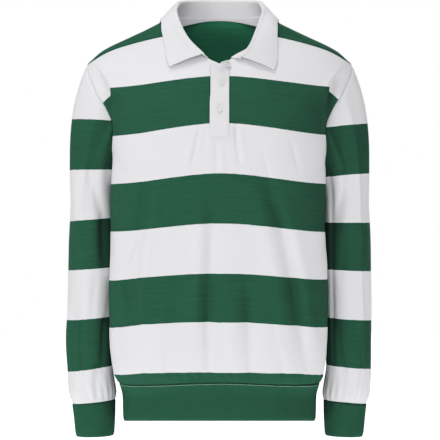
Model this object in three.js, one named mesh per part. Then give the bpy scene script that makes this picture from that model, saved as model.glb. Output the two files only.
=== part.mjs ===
// A long-sleeved rugby shirt, filled out as if worn, hollow and open at the neck, hem and cuffs.
// Millimetres. X runs across the shirt, Y from its front to its back, and Z up.
// The origin is the middle of the neck opening, level with the two ends of the back neck seam.
import * as THREE from "three";

// Walls and gaps.
const CLOTH = 2; // jersey panels
const RIB = 2.6; // doubled rib at hem and cuffs
const COLLAR_CLOTH = 1.8;
const PLACKET_CLOTH = 1.6;
const TAPE_CLOTH = 1;
const GAP = 0.3; // between neighbouring pieces
const SEAM_SHIFT = 0.17; // each of two panels stops this far from the seam's line between them

// Heights along the cloth, which are also real heights at the centre line.
const UNDERARM = -290; // lowest point of the armhole
const SHOULDER = -82; // highest point of the armhole
const HEM_SEAM = -632; // the jersey ends and the rib band starts
const SHOULDER_SEAM_TOP = -36; // the shoulder seam meets the neckline
const NECK_FRONT = -87; // the placket's slot opens into the neckline

const PLACKET_HALF = 15; // half the width of the placket's slot
const NECK_SIDE = 79; // half the neckline's width where the shoulder seam meets it
const NECK_BACK = 82; // half the neckline's width at the origin's height

// The body's level sections, from the neck down to the rib band. v is the height along the cloth,
// square the power of the superellipse, and hollow how far the arm presses the side in.
const BODY_SECTIONS = [
  { v: 0, halfWidth: 82, front: 36, back: 72, square: 2, hollow: 0 },
  { v: -12, halfWidth: 103.5, front: 42, back: 77, square: 2, hollow: 0 },
  { v: -21, halfWidth: 121.5, front: 46, back: 82, square: 2, hollow: 0 },
  { v: -38, halfWidth: 157.5, front: 53, back: 91, square: 2, hollow: 0 },
  { v: -54, halfWidth: 191.5, front: 65, back: 98, square: 2, hollow: 0 },
  { v: -63, halfWidth: 207, front: 74, back: 101, square: 2, hollow: 0 },
  { v: -74, halfWidth: 222, front: 84, back: 105, square: 2.03, hollow: 0 },
  { v: -82, halfWidth: 232, front: 91, back: 108, square: 2.05, hollow: 0 },
  { v: -95, halfWidth: 237, front: 99, back: 112, square: 2.1, hollow: 0 },
  { v: -115, halfWidth: 236, front: 108, back: 116, square: 2.15, hollow: 1 },
  { v: -150, halfWidth: 221, front: 119, back: 120, square: 2.3, hollow: 6 },
  { v: -190, halfWidth: 207, front: 127, back: 122, square: 2.5, hollow: 18 },
  { v: -240, halfWidth: 205, front: 130, back: 122, square: 2.6, hollow: 30 },
  { v: -300, halfWidth: 207, front: 130, back: 121, square: 2.6, hollow: 35 },
  { v: -420, halfWidth: 209, front: 128, back: 118, square: 2.6, hollow: 36 },
  { v: -540, halfWidth: 208, front: 125, back: 115, square: 2.6, hollow: 34 },
  { v: -590, halfWidth: 203, front: 121, back: 113, square: 2.6, hollow: 28 },
  { v: -616, halfWidth: 194, front: 116, back: 110, square: 2.6, hollow: 18 },
  { v: -632, halfWidth: 182, front: 110, back: 105, square: 2.6, hollow: 8 },
];

// The rib band's level sections, below the body's.
const BAND_SECTIONS = [
  { v: -632, halfWidth: 181.5, front: 109.5, back: 104.5, square: 2.6, hollow: 8 },
  { v: -643, halfWidth: 174, front: 106, back: 101, square: 2.6, hollow: 3 },
  { v: -656, halfWidth: 169, front: 104, back: 100, square: 2.6, hollow: 0 },
  { v: -688, halfWidth: 168, front: 103, back: 99, square: 2.6, hollow: 0 },
  { v: -698, halfWidth: 163, front: 99.5, back: 96, square: 2.6, hollow: 0 },
];

// The arm's hollow in the body's side.
const ARM_Y = 14;
const ARM_SPREAD = 60;

// How far the cloth at the sides hangs below the same row of cloth at the centre.
const SIDE_DROP = 15;
const DROP_WIDTH = 187;

// The armhole's loop on the body, and the shoulder seam that runs from it to the neck.
const ARMHOLE_TOP_Y = -3;
const ARMHOLE_FRONT = 66;
const ARMHOLE_BACK = 64;

// The largest folds of the body: a line from (x0, z0) down to (x1, z1), bowed sideways at its middle,
// with the spread of its sides and its height, which is negative in a trough.
const FRONT_FOLDS = [
  { x0: 62, z0: -255, x1: 144, z1: -622, bow: 20, spread: 14, height: -9 },
  { x0: 96, z0: -300, x1: 166, z1: -610, bow: 14, spread: 16, height: 4 },
  { x0: 44, z0: -270, x1: 108, z1: -615, bow: 16, spread: 15, height: 3.5 },
  { x0: -8, z0: -330, x1: -22, z1: -628, bow: -2, spread: 9, height: -5 },
  { x0: -22, z0: -270, x1: -42, z1: -600, bow: -4, spread: 11, height: 4 },
  { x0: 46, z0: -440, x1: 51, z1: -628, bow: 0, spread: 10, height: -5.5 },
  { x0: 14, z0: -420, x1: 20, z1: -625, bow: 2, spread: 13, height: 3 },
  { x0: -98, z0: -270, x1: -136, z1: -600, bow: -8, spread: 15, height: 5 },
  { x0: -122, z0: -280, x1: -156, z1: -610, bow: -6, spread: 13, height: -5.5 },
  { x0: -66, z0: -420, x1: -84, z1: -625, bow: 0, spread: 14, height: -3 },
  { x0: 203, z0: -104, x1: 184, z1: -225, bow: -8, spread: 9, height: -5 },
  { x0: -203, z0: -104, x1: -184, z1: -225, bow: 8, spread: 9, height: -4 },
];
const BACK_FOLDS = [
  { x0: -70, z0: -215, x1: -118, z1: -620, bow: -10, spread: 15, height: -7 },
  { x0: 62, z0: -225, x1: 104, z1: -622, bow: 12, spread: 14, height: -7 },
  { x0: 92, z0: -300, x1: 142, z1: -600, bow: 6, spread: 15, height: 5 },
  { x0: -14, z0: -330, x1: -26, z1: -626, bow: 4, spread: 12, height: -5 },
  { x0: -46, z0: -300, x1: -72, z1: -610, bow: -4, spread: 14, height: 5 },
  { x0: 22, z0: -380, x1: 40, z1: -620, bow: 0, spread: 13, height: 4 },
];

// The sleeve's level sections below the armhole: inner and outer side, middle and half of its depth,
// and how much the inner side stands above the outer one.
const SLEEVE_SECTIONS = [
  { z: -335, inner: 179.5, outer: 262, middle: 16, halfDepth: 66, tilt: 0 },
  { z: -400, inner: 180, outer: 265, middle: 16, halfDepth: 65, tilt: 0 },
  { z: -480, inner: 181, outer: 266, middle: 15, halfDepth: 62, tilt: 1 },
  { z: -560, inner: 184, outer: 267, middle: 13, halfDepth: 57, tilt: 4 },
  { z: -615, inner: 187, outer: 266.5, middle: 11, halfDepth: 52, tilt: 7 },
  { z: -645, inner: 183, outer: 265, middle: 9, halfDepth: 48, tilt: 7.5 },
  { z: -663, inner: 181, outer: 262, middle: 8, halfDepth: 42, tilt: 7.5 },
  { z: -674, inner: 182.5, outer: 258.5, middle: 8, halfDepth: 37, tilt: 7.5 },
];
const CUFF_SECTIONS = [
  { z: -674, inner: 182.5, outer: 258, middle: 8, halfDepth: 36.5, tilt: 7.5 },
  { z: -700, inner: 183, outer: 255, middle: 8, halfDepth: 34, tilt: 6 },
  { z: -726, inner: 184.5, outer: 252, middle: 7, halfDepth: 31, tilt: 3 },
  { z: -735, inner: 187.5, outer: 248.5, middle: 7, halfDepth: 28, tilt: 2 },
];
const SLEEVE_SQUARE = 2.2;

// The sleeves' largest folds: a line from (turn0, z0) down to (turn1, z1), where turn is in degrees from
// the outer side, over the front. arm is 1 on the side of positive x and -1 on the other.
const SLEEVE_FOLDS = [
  { arm: -1, turn0: 62, z0: -230, turn1: 128, z1: -385, spread: 15, height: -6 },
  { arm: -1, turn0: 30, z0: -250, turn1: 70, z1: -400, spread: 17, height: 3.5 },
  { arm: -1, turn0: 34, z0: -480, turn1: 26, z1: -640, spread: 12, height: 3.5 },
  { arm: -1, turn0: 118, z0: -590, turn1: 100, z1: -668, spread: 10, height: -4 },
  { arm: -1, turn0: 230, z0: -230, turn1: 300, z1: -380, spread: 15, height: -5 },
  { arm: 1, turn0: 70, z0: -250, turn1: 132, z1: -400, spread: 15, height: -4.5 },
  { arm: 1, turn0: 40, z0: -300, turn1: 62, z1: -470, spread: 16, height: 3.5 },
  { arm: 1, turn0: 46, z0: -520, turn1: 30, z1: -650, spread: 13, height: 3 },
  { arm: 1, turn0: 110, z0: -590, turn1: 92, z1: -668, spread: 10, height: -4 },
  { arm: 1, turn0: 220, z0: -470, turn1: 310, z1: -560, spread: 14, height: -5 },
];

// How the sleeve leaves the armhole: its direction and reach, and how far it bends out of the body's
// surface there, in degrees.
const SLEEVE_LEAVES = {
  top: { x: 115, y: 0, z: -247, bend: 0 },
  side: { x: 62, y: -14, z: -125, bend: 58 },
  under: { x: 26, y: 0, z: -22, bend: 90 },
};

// The collar from the centre back (along 0) to a front end (along 1), with one row of its other side so
// that the curves run on over the centre back. roll is the line it folds on.
// The outer edge lies over the body at the height edgeV and at edgeTurn degrees round its section.
const COLLAR_RING = [
  { along: -0.2, rollX: -46, rollY: 64, rollZ: 34, edgeTurn: 210, edgeV: -30 },
  { along: 0, rollX: 0, rollY: 79, rollZ: 36, edgeTurn: 180, edgeV: -31 },
  { along: 0.2, rollX: 46, rollY: 64, rollZ: 34, edgeTurn: 150, edgeV: -30 },
  { along: 0.36, rollX: 70, rollY: 33, rollZ: 29, edgeTurn: 120, edgeV: -22 },
  { along: 0.45, rollX: 77, rollY: 4, rollZ: 13, edgeTurn: 95, edgeV: -11 },
  { along: 0.53, rollX: 75.5, rollY: -19, rollZ: 3, edgeTurn: 75, edgeV: -12.5 },
  { along: 0.58, rollX: 72.5, rollY: -29, rollZ: -7, edgeTurn: 60, edgeV: -17.5 },
  { along: 0.66, rollX: 65, rollY: -45, rollZ: -26, edgeTurn: 43, edgeV: -32 },
  { along: 0.75, rollX: 57, rollY: -60, rollZ: -41, edgeTurn: 34, edgeV: -45 },
  { along: 0.84, rollX: 49, rollY: -73, rollZ: -52, edgeTurn: 28, edgeV: -59 },
  { along: 0.92, rollX: 39, rollY: -86, rollZ: -63, edgeTurn: 23.7, edgeV: -75 },
  { along: 1, rollX: 28, rollY: -97, rollZ: -74, edgeTurn: 19.7, edgeV: -94 },
];
const COLLAR_EDGE_LIFT = 3.2; // of the middle of the collar's wall above the body's cloth
const COLLAR_END_SHIFT = new THREE.Vector3(8, 0, -5); // of the front end on the side of positive x
const ROLL_RADIUS = 3.2;

// The placket, its buttons and the free corner of its upper strip.
const SLOT_ROW = 5; // the slot ends at this row of the armhole's heights
const PLACKET_TOP = -97; // height of the upper strip's free corner
const PLACKET_LIFT = 15; // how far the free corner stands off the cloth below
const PLACKET_SWING = 19; // how far the corner has swung aside
const PLACKET_LIFT_END = -160; // height where the free edge lies down again
const PLACKET_CURL = 0.55; // how much of the swing is in the corner itself
const BUTTONS = [
  { name: "button_top", across: 0.82, v: -95 },
  { name: "button_middle", across: 0.54, v: -124 },
  { name: "button_low", across: 0.5, v: -169.5 },
];
const BUTTON_RADIUS = 5.8;
const BUTTON_THICKNESS = 2.4;
const BUTTON_SIDES = 16;

// Grids.
const PANEL_COLUMNS = 12; // on each side of the centre line
const ARMHOLE_STEPS = 12; // from under the arm to the shoulder
const RING_COLUMNS = 2 * ARMHOLE_STEPS; // round a sleeve, so that its columns meet the panels' rows
const BAND_COLUMNS = 40;
const BODY_ROWS = [-632, -624, -612, -594, -565, -525, -480, -435, -390, -350, -316];
const SHOULDER_ROWS = [-72, -62, -50, -42];
const NECK_ROWS = [-26, -16, -8];
const CAP_SHARES = [0, 0.1, 0.22, 0.36, 0.52, 0.7, 0.85];
const SLEEVE_ROWS = [-335, -375, -425, -480, -535, -585, -622, -648, -664, -674];
const CUFF_ROWS = [-674, -690, -720, -730, -735];
const BAND_ROWS = [-698, -695, -688, -665, -645, -632];

const WHITE = 0xe9e9ee;
const GREEN = 0x2b6149;
const BUTTON_CREAM = 0xe6e1d8;

const clamp01 = (q) => Math.min(1, Math.max(0, q));
const ease = (q) => clamp01(q) ** 2 * (3 - 2 * clamp01(q));
const mix = (a, b, q) => a + (b - a) * q;
const power = (base, exponent) => Math.sign(base) * Math.abs(base) ** exponent;
const vector = (x, y, z) => new THREE.Vector3(x, y, z);
const range = (count) => Array.from({ length: count }, (_, i) => i);
const radians = THREE.MathUtils.degToRad;

// A smooth curve through a table's column, whose slopes never overshoot.
function curveThrough(rows, along, column) {
  const at = rows.map((row) => row[along]);
  const value = rows.map((row) => row[column]);
  const rise = value.slice(1).map((next, i) => (next - value[i]) / (at[i + 1] - at[i]));
  const slope = value.map((_, i) => {
    if (i === 0) return rise[0];
    if (i === rise.length) return rise[i - 1];
    return rise[i - 1] * rise[i] <= 0 ? 0 : (2 * rise[i - 1] * rise[i]) / (rise[i - 1] + rise[i]);
  });
  const down = at[0] > at[at.length - 1];
  return (position) => {
    let i = 0;
    while (i < at.length - 2 && (down ? position < at[i + 1] : position > at[i + 1])) i += 1;
    const span = at[i + 1] - at[i];
    const q = clamp01((position - at[i]) / span);
    const start = 1 - 3 * q ** 2 + 2 * q ** 3;
    const leave = q - 2 * q ** 2 + q ** 3;
    const arrive = q ** 3 - q ** 2;
    return value[i] * start + value[i + 1] * (1 - start) + span * (slope[i] * leave + slope[i + 1] * arrive);
  };
}

// The curves of all of a table's columns.
function tableCurves(rows, along) {
  const columns = Object.keys(rows[0]).filter((column) => column !== along);
  return Object.fromEntries(columns.map((column) => [column, curveThrough(rows, along, column)]));
}

const body = tableCurves(BODY_SECTIONS, "v");
const band = tableCurves(BAND_SECTIONS, "v");
const sleeve = tableCurves(SLEEVE_SECTIONS, "z");
const cuff = tableCurves(CUFF_SECTIONS, "z");
const collarRing = tableCurves(COLLAR_RING, "along");

// The real height of a point of cloth at the height v along the cloth, which hangs lower at the sides.
function hang(v, x) {
  const shoulder = ease((-60 - v) / 55);
  const hem = mix(1, 0.5, ease((-540 - v) / 90));
  return v - SIDE_DROP * shoulder * hem * ease(Math.abs(x) / DROP_WIDTH);
}

// A point of a level section. turn is 0 at the centre front, a quarter turn at the side of positive x and
// a half turn at the centre back.
function sectionPoint(form, v, turn) {
  const bend = 2 / form.square(v);
  const c = Math.cos(turn);
  const y = -power(c, bend) * (c > 0 ? form.front(v) : form.back(v));
  const pressed = form.hollow(v) * Math.exp(-(((y - ARM_Y) / ARM_SPREAD) ** 2));
  const full = power(Math.sin(turn), bend) * form.halfWidth(v);
  const x = full - Math.sign(full) * pressed * ease(Math.abs(full) / 120);
  return vector(x, y, hang(v, x));
}

// How much one fold raises the cloth at (a, z), for a line from (a0, z0) to (a1, z1).
function foldHeight(fold, a, z, a0, a1, spread) {
  if (z > fold.z0 || z < fold.z1) return 0;
  const along = (z - fold.z0) / (fold.z1 - fold.z0);
  const middle = mix(a0, a1, along) + (fold.bow ?? 0) * 4 * along * (1 - along);
  return fold.height * Math.exp(-(((a - middle) / spread) ** 2)) * Math.sin(Math.PI * along);
}

// A point of the body's cloth with its outward direction, folds included. The cloth's outer face lies on it.
function clothPoint(form, folds, v, turn) {
  const step = 0.01;
  const rise = sectionPoint(form, v + 1, turn).sub(sectionPoint(form, v - 1, turn));
  const across = sectionPoint(form, v, turn + step).sub(sectionPoint(form, v, turn - step));
  const normal = across.cross(rise).normalize();
  const point = sectionPoint(form, v, turn);
  const height = folds.reduce(
    (sum, fold) => sum + foldHeight(fold, point.x, point.z, fold.x0, fold.x1, fold.spread),
    0,
  );
  return { point: point.addScaledVector(normal, height), normal };
}

// The turn at which a section reaches a depth y, on the side of positive x.
function turnAtDepth(v, y) {
  const reach = clamp01(Math.abs(y) / (y < 0 ? body.front(v) : body.back(v))) ** (body.square(v) / 2);
  return y < 0 ? Math.acos(reach) : Math.PI - Math.acos(reach);
}

// The turn at which a section's front reaches a distance x from the centre line.
const turnAtWidth = (v, x) => Math.asin(clamp01(x / body.halfWidth(v)) ** (body.square(v) / 2));

// The armhole's middle and its share of full depth at a height.
const armholeShare = (v) => mix(-1, 1, (v - UNDERARM) / (SHOULDER - UNDERARM));
const armholeMiddle = (v) => mix(ARM_Y, ARMHOLE_TOP_Y, (armholeShare(v) + 1) / 2);
const armholeReach = (v) => Math.max(0, 1 - armholeShare(v) ** 2) ** 0.6;

// The depth of the shoulder seam at a height, from the armhole's top forwards to the neckline.
const neckCorner = sectionPoint(body, SHOULDER_SEAM_TOP, turnAtWidth(SHOULDER_SEAM_TOP, NECK_SIDE));
function shoulderSeamDepth(v) {
  const towardsNeck = clamp01((v - SHOULDER) / (SHOULDER_SEAM_TOP - SHOULDER));
  return mix(ARMHOLE_TOP_Y, neckCorner.y, towardsNeck ** 0.45);
}

// The turn of a panel's outer edge at a height: side seam, armhole, then shoulder seam. face is -1 for
// the front panel and 1 for the back one.
function edgeTurn(v, face) {
  const shift = face * SEAM_SHIFT;
  if (v <= UNDERARM) return turnAtDepth(v, ARM_Y + shift);
  const depth = face < 0 ? ARMHOLE_FRONT : ARMHOLE_BACK;
  if (v < SHOULDER) return turnAtDepth(v, armholeMiddle(v) + face * depth * armholeReach(v) + shift);
  if (v <= SHOULDER_SEAM_TOP) return turnAtDepth(v, shoulderSeamDepth(v) + shift);
  return turnAtWidth(v, mix(NECK_BACK, NECK_SIDE, v / SHOULDER_SEAM_TOP));
}

// Half the width of the opening in the front at a height: the slot, then the neckline.
function frontOpening(v) {
  const rise = clamp01((v - NECK_FRONT) / (SHOULDER_SEAM_TOP - NECK_FRONT));
  return mix(PLACKET_HALF, NECK_SIDE, Math.sin((rise * Math.PI) / 2) ** 1.3);
}

// Turns that part a stretch of one section into even lengths.
function evenTurns(v, turn0, turn1, count) {
  const fine = 100;
  const turns = range(fine + 1).map((i) => mix(turn0, turn1, i / fine));
  const points = turns.map((turn) => sectionPoint(body, v, turn));
  const lengths = [0];
  for (let i = 1; i <= fine; i += 1) lengths.push(lengths[i - 1] + points[i].distanceTo(points[i - 1]));
  return range(count + 1).map((k) => {
    const wanted = (lengths[fine] * k) / count;
    const i = Math.min(fine - 1, Math.max(0, lengths.findIndex((length) => length > wanted) - 1));
    const reached = k === count ? 1 : (wanted - lengths[i]) / (lengths[i + 1] - lengths[i]);
    return k === count ? turn1 : mix(turns[i], turns[i + 1], clamp01(reached));
  });
}

// The outward direction of a grid at one of its points, from its neighbours.
function gridNormal(grid, i, j, closed) {
  const columns = grid[j].length;
  const column = (k) => (closed ? (k + columns) % columns : Math.min(columns - 1, Math.max(0, k)));
  const row = (k) => Math.min(grid.length - 1, Math.max(0, k));
  const across = grid[j][column(i + 1)].point.clone().sub(grid[j][column(i - 1)].point);
  const up = grid[row(j + 1)][i].point.clone().sub(grid[row(j - 1)][i].point);
  return across.cross(up).normalize();
}

// A wall of cloth over grid[row][column], an array of { point, normal } seen from outside with columns
// running to the right and rows running up. A missing normal is worked out from the neighbours. The
// wall stands from base to base + thickness along the normals, and keep says which cells hold cloth.
function clothWall(grid, { thickness, base = -thickness, closed = false, keep = () => true }) {
  const columns = grid[0].length;
  const cells = closed ? columns : columns - 1;
  const positions = [];
  for (const offset of [base, base + thickness]) {
    grid.forEach((row, j) => {
      row.forEach(({ point, normal }, i) => {
        const moved = point.clone().addScaledVector(normal ?? gridNormal(grid, i, j, closed), offset);
        positions.push(moved.x, moved.y, moved.z);
      });
    });
  }
  const inner = (i, j) => j * columns + (i % columns);
  const outer = (i, j) => grid.length * columns + inner(i, j);
  const held = (i, j) => {
    if (j < 0 || j >= grid.length - 1) return false;
    return closed ? keep((i + cells) % cells, j) : i >= 0 && i < cells && keep(i, j);
  };
  const index = [];
  const corner = (k) => vector(...positions.slice(3 * k, 3 * k + 3));
  const distance = (a, b) => corner(a).distanceTo(corner(b));
  const quad = (a, b, c, d) => {
    if (distance(a, c) <= distance(b, d)) index.push(a, b, c, a, c, d);
    else index.push(a, b, d, b, c, d);
  };
  for (let j = 0; j < grid.length - 1; j += 1) {
    for (let i = 0; i < cells; i += 1) {
      if (!held(i, j)) continue;
      quad(outer(i, j), outer(i + 1, j), outer(i + 1, j + 1), outer(i, j + 1));
      quad(inner(i, j), inner(i, j + 1), inner(i + 1, j + 1), inner(i + 1, j));
      if (!held(i, j - 1)) quad(inner(i, j), inner(i + 1, j), outer(i + 1, j), outer(i, j));
      if (!held(i, j + 1)) quad(outer(i, j + 1), outer(i + 1, j + 1), inner(i + 1, j + 1), inner(i, j + 1));
      if (!held(i - 1, j)) quad(inner(i, j + 1), inner(i, j), outer(i, j), outer(i, j + 1));
      if (!held(i + 1, j)) quad(inner(i + 1, j), inner(i + 1, j + 1), outer(i + 1, j + 1), outer(i + 1, j));
    }
  }
  return new THREE.BufferGeometry()
    .setAttribute("position", new THREE.Float32BufferAttribute(positions, 3))
    .setIndex(index);
}

// The same direction, turned level, for edges that butt against a level neighbour.
const levelled = ({ point, normal }) => ({ point, normal: normal.clone().setZ(0).normalize() });

// Gives the first and last rows of a closed grid level directions.
function withLevelEnds(grid) {
  return grid.map((row, j) => {
    if (j > 0 && j < grid.length - 1) return row;
    return row.map(({ point }, i) => levelled({ point, normal: gridNormal(grid, i, j, true) }));
  });
}

const clothMaterial = (color) => new THREE.MeshStandardMaterial({ color, roughness: 0.9, metalness: 0 });
const white = clothMaterial(WHITE);
const green = clothMaterial(GREEN);
const cream = new THREE.MeshStandardMaterial({ color: BUTTON_CREAM, roughness: 0.35, metalness: 0 });

function piece(name, geometry, material) {
  const mesh = new THREE.Mesh(geometry, material);
  mesh.name = name;
  return mesh;
}

const armholeRows = range(ARMHOLE_STEPS + 1).map((k) =>
  mix(UNDERARM, SHOULDER, (1 - Math.cos((Math.PI * k) / ARMHOLE_STEPS)) / 2),
);
const slotEnd = armholeRows[SLOT_ROW];
const frontRows = [...BODY_ROWS, ...armholeRows, ...SHOULDER_ROWS, SHOULDER_SEAM_TOP - 1];
const backRows = [...BODY_ROWS, ...armholeRows, ...SHOULDER_ROWS, SHOULDER_SEAM_TOP, ...NECK_ROWS, 0];

const atHem = (entry, v) => (v === HEM_SEAM ? levelled(entry) : entry);
const frontPoint = (v, turn) => atHem(clothPoint(body, FRONT_FOLDS, v, turn), v);
const backPoint = (v, turn) => atHem(clothPoint(body, BACK_FOLDS, v, turn), v);

// The front, with the placket's slot cut down from the neckline.
function frontPanel() {
  const grid = frontRows.map((v) => {
    const inside = turnAtWidth(v, frontOpening(v) + (v >= slotEnd ? GAP : 0));
    const turns = evenTurns(v, inside, edgeTurn(v, -1), PANEL_COLUMNS);
    return [...turns.map((turn) => -turn).reverse(), 0, ...turns].map((turn) => frontPoint(v, turn));
  });
  const slot = (i, j) => (i === PANEL_COLUMNS || i === PANEL_COLUMNS + 1) && frontRows[j] >= slotEnd;
  return piece("front_panel", clothWall(grid, { thickness: CLOTH, keep: (i, j) => !slot(i, j) }), white);
}

// The back, which runs over the shoulder to the forward shoulder seam.
function backPanel() {
  const grid = backRows.map((v) => {
    const turns = evenTurns(v, edgeTurn(v, 1), Math.PI, PANEL_COLUMNS);
    const beyond = turns.slice(0, -1).map((turn) => 2 * Math.PI - turn);
    return [...turns, ...beyond.reverse()].map((turn) => backPoint(v, turn));
  });
  return piece("back_panel", clothWall(grid, { thickness: CLOTH }), white);
}

// A point of a level sleeve section on the side of positive x. turn is 0 on the outer side and a
// quarter turn at the front.
function sleevePoint(form, z, turn) {
  const bend = 2 / SLEEVE_SQUARE;
  const half = (form.outer(z) - form.inner(z)) / 2;
  const outwards = power(Math.cos(turn), bend);
  const y = form.middle(z) - form.halfDepth(z) * power(Math.sin(turn), bend);
  return vector(form.inner(z) + half * (1 + outwards), y, z - (form.tilt(z) / 2) * outwards);
}

const toSide = (point, side) => vector(side * point.x, point.y, point.z);

// The armhole's edge on the panels at a turn of the sleeve, with the directions along the body's surface
// and out of it.
function armholeEdge(turn, side) {
  const v = mix(UNDERARM, SHOULDER, (1 + Math.cos(turn)) / 2);
  const front = turn < Math.PI;
  const at = (height) => edgeTurn(height, front ? -1 : 1);
  const surface = (height) => (front ? frontPoint : backPoint)(height, side * at(height));
  const { point, normal } = surface(v);
  const top = Math.cos(turn) > 0.999;
  const bottom = Math.cos(turn) < -0.999;
  const low = surface(bottom ? v : v - 0.5).point;
  const high = surface(top ? v : v + 0.5).point;
  const along = high.sub(low).normalize();
  const into = along.clone().cross(normal).multiplyScalar(front ? side : -side);
  if (top) into.set(side, 0, -0.9).projectOnPlane(normal);
  if (bottom) into.set(0, 0, 1).projectOnPlane(normal);
  return { point, normal, into: into.normalize() };
}

// How the sleeve leaves the armhole at a turn.
function sleeveLeave(turn, side) {
  const { top, side: flank, under } = SLEEVE_LEAVES;
  const c = Math.cos(turn);
  const other = c > 0 ? top : under;
  const at = (axis) => mix(flank[axis], other[axis], ease(Math.abs(c)));
  return { leave: vector(side * at("x"), at("y") * Math.sin(turn), at("z")), bend: radians(at("bend")) };
}

// The cap, from the armhole (share 0) down to the first level section (share 1).
function capEntry(turn, share, side) {
  const { point, normal, into } = armholeEdge(turn, side);
  const { leave, bend } = sleeveLeave(turn, side);
  const start = point.clone().addScaledVector(into, GAP);
  if (share === 0) {
    const outward = normal.clone().multiplyScalar(Math.cos(bend)).addScaledVector(into, -Math.sin(bend));
    return { point: start, normal: outward };
  }
  const end = toSide(sleevePoint(sleeve, SLEEVE_ROWS[0], turn), side);
  const arrive = vector(0, 0, end.z - start.z);
  const stay = 1 - 3 * share ** 2 + 2 * share ** 3;
  const path = start
    .multiplyScalar(stay)
    .addScaledVector(end, 1 - stay)
    .addScaledVector(leave, share - 2 * share ** 2 + share ** 3)
    .addScaledVector(arrive, share ** 3 - share ** 2);
  return { point: path };
}

// Moves a sleeve point away from the sleeve's middle, by its folds.
function withSleeveFolds(point, turn, side) {
  const meanRadius = 55;
  const degrees = THREE.MathUtils.radToDeg(turn);
  const height = SLEEVE_FOLDS.filter((fold) => fold.arm === side).reduce((sum, fold) => {
    const spread = THREE.MathUtils.radToDeg(fold.spread / meanRadius);
    return sum + foldHeight(fold, degrees, point.z, fold.turn0, fold.turn1, spread);
  }, 0);
  return point.add(vector(side * Math.cos(turn), -Math.sin(turn), 0).multiplyScalar(height));
}

// A ring's turns in the order that runs to the right seen from outside, on the side of positive x.
const ringTurns = range(RING_COLUMNS).map((i) => 2 * Math.PI * (1 - (i + 1) / RING_COLUMNS));

// Rows of a tube on one side of the shirt, from its lowest to its highest.
function tubeRows(side, rows) {
  return rows.map((row) => (side < 0 ? [...row].reverse() : row)).reverse();
}

function sleeveWall(side) {
  const cap = CAP_SHARES.map((share) =>
    ringTurns.map((turn) => {
      const entry = capEntry(turn, share, side);
      if (share > 0) withSleeveFolds(entry.point, turn, side);
      return entry;
    }),
  );
  const tube = SLEEVE_ROWS.map((z) =>
    ringTurns.map((turn) => ({
      point: withSleeveFolds(toSide(sleevePoint(sleeve, z, turn), side), turn, side),
    })),
  );
  const grid = tubeRows(side, [...cap, ...tube]);
  grid[0] = withLevelEnds(grid)[0];
  return clothWall(grid, { thickness: CLOTH, closed: true });
}

function cuffWall(side) {
  const grid = CUFF_ROWS.map((z) =>
    ringTurns.map((turn) => {
      const point = toSide(sleevePoint(cuff, z, turn), side);
      point.z -= GAP;
      return { point };
    }),
  );
  return clothWall(withLevelEnds(tubeRows(side, grid)), { thickness: RIB, closed: true });
}

function hemBand() {
  const grid = BAND_ROWS.map((v) =>
    range(BAND_COLUMNS).map((i) => {
      const point = sectionPoint(band, v, (2 * Math.PI * i) / BAND_COLUMNS);
      point.z -= GAP;
      return { point };
    }),
  );
  return piece("hem_band", clothWall(withLevelEnds(grid), { thickness: RIB, closed: true }), green);
}

// The neckline's points on the panels' edges, from the centre back to a front end, each with the
// directions out of the cloth and across the edge into the neck.
const backNeckTurns = evenTurns(0, edgeTurn(0, 1), Math.PI, PANEL_COLUMNS).reverse();
const necklineStations = [
  ...backNeckTurns.map((turn) => backPoint(0, turn)),
  ...[...NECK_ROWS].reverse().map((v) => backPoint(v, edgeTurn(v, 1))),
  backPoint(SHOULDER_SEAM_TOP, edgeTurn(SHOULDER_SEAM_TOP, 1)),
  ...[...SHOULDER_ROWS].reverse().map((v) => frontPoint(v, turnAtWidth(v, frontOpening(v) + GAP))),
  frontPoint(SHOULDER, turnAtWidth(SHOULDER, frontOpening(SHOULDER) + GAP)),
];
const necklineLengths = necklineStations.reduce((lengths, { point }, i) => {
  const step = i === 0 ? 0 : point.distanceTo(necklineStations[i - 1].point);
  return [...lengths, (lengths[i - 1] ?? 0) + step];
}, []);
const necklineAlong = necklineLengths.map((length) => length / necklineLengths[necklineLengths.length - 1]);

// Where the collar's stand starts, just clear of the panels' edge.
function collarSeam(station) {
  const { point, normal } = necklineStations[station];
  const before = necklineStations[Math.max(0, station - 1)].point;
  const after = necklineStations[Math.min(necklineStations.length - 1, station + 1)].point;
  const along = after.clone().sub(before);
  if (station === 0) along.set(1, 0, 0);
  const into = along.cross(normal).normalize();
  return point.clone().addScaledVector(into, 2 * GAP + COLLAR_CLOTH / 2).addScaledVector(normal, 2 * GAP);
}

const STAND_STEPS = 2;
const ROLL_STEPS = 4;
const FALL_STEPS = 4;
const ROLL_SWEEP = 0.8 * Math.PI;
const FALL_BULGE = 2.5;

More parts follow.
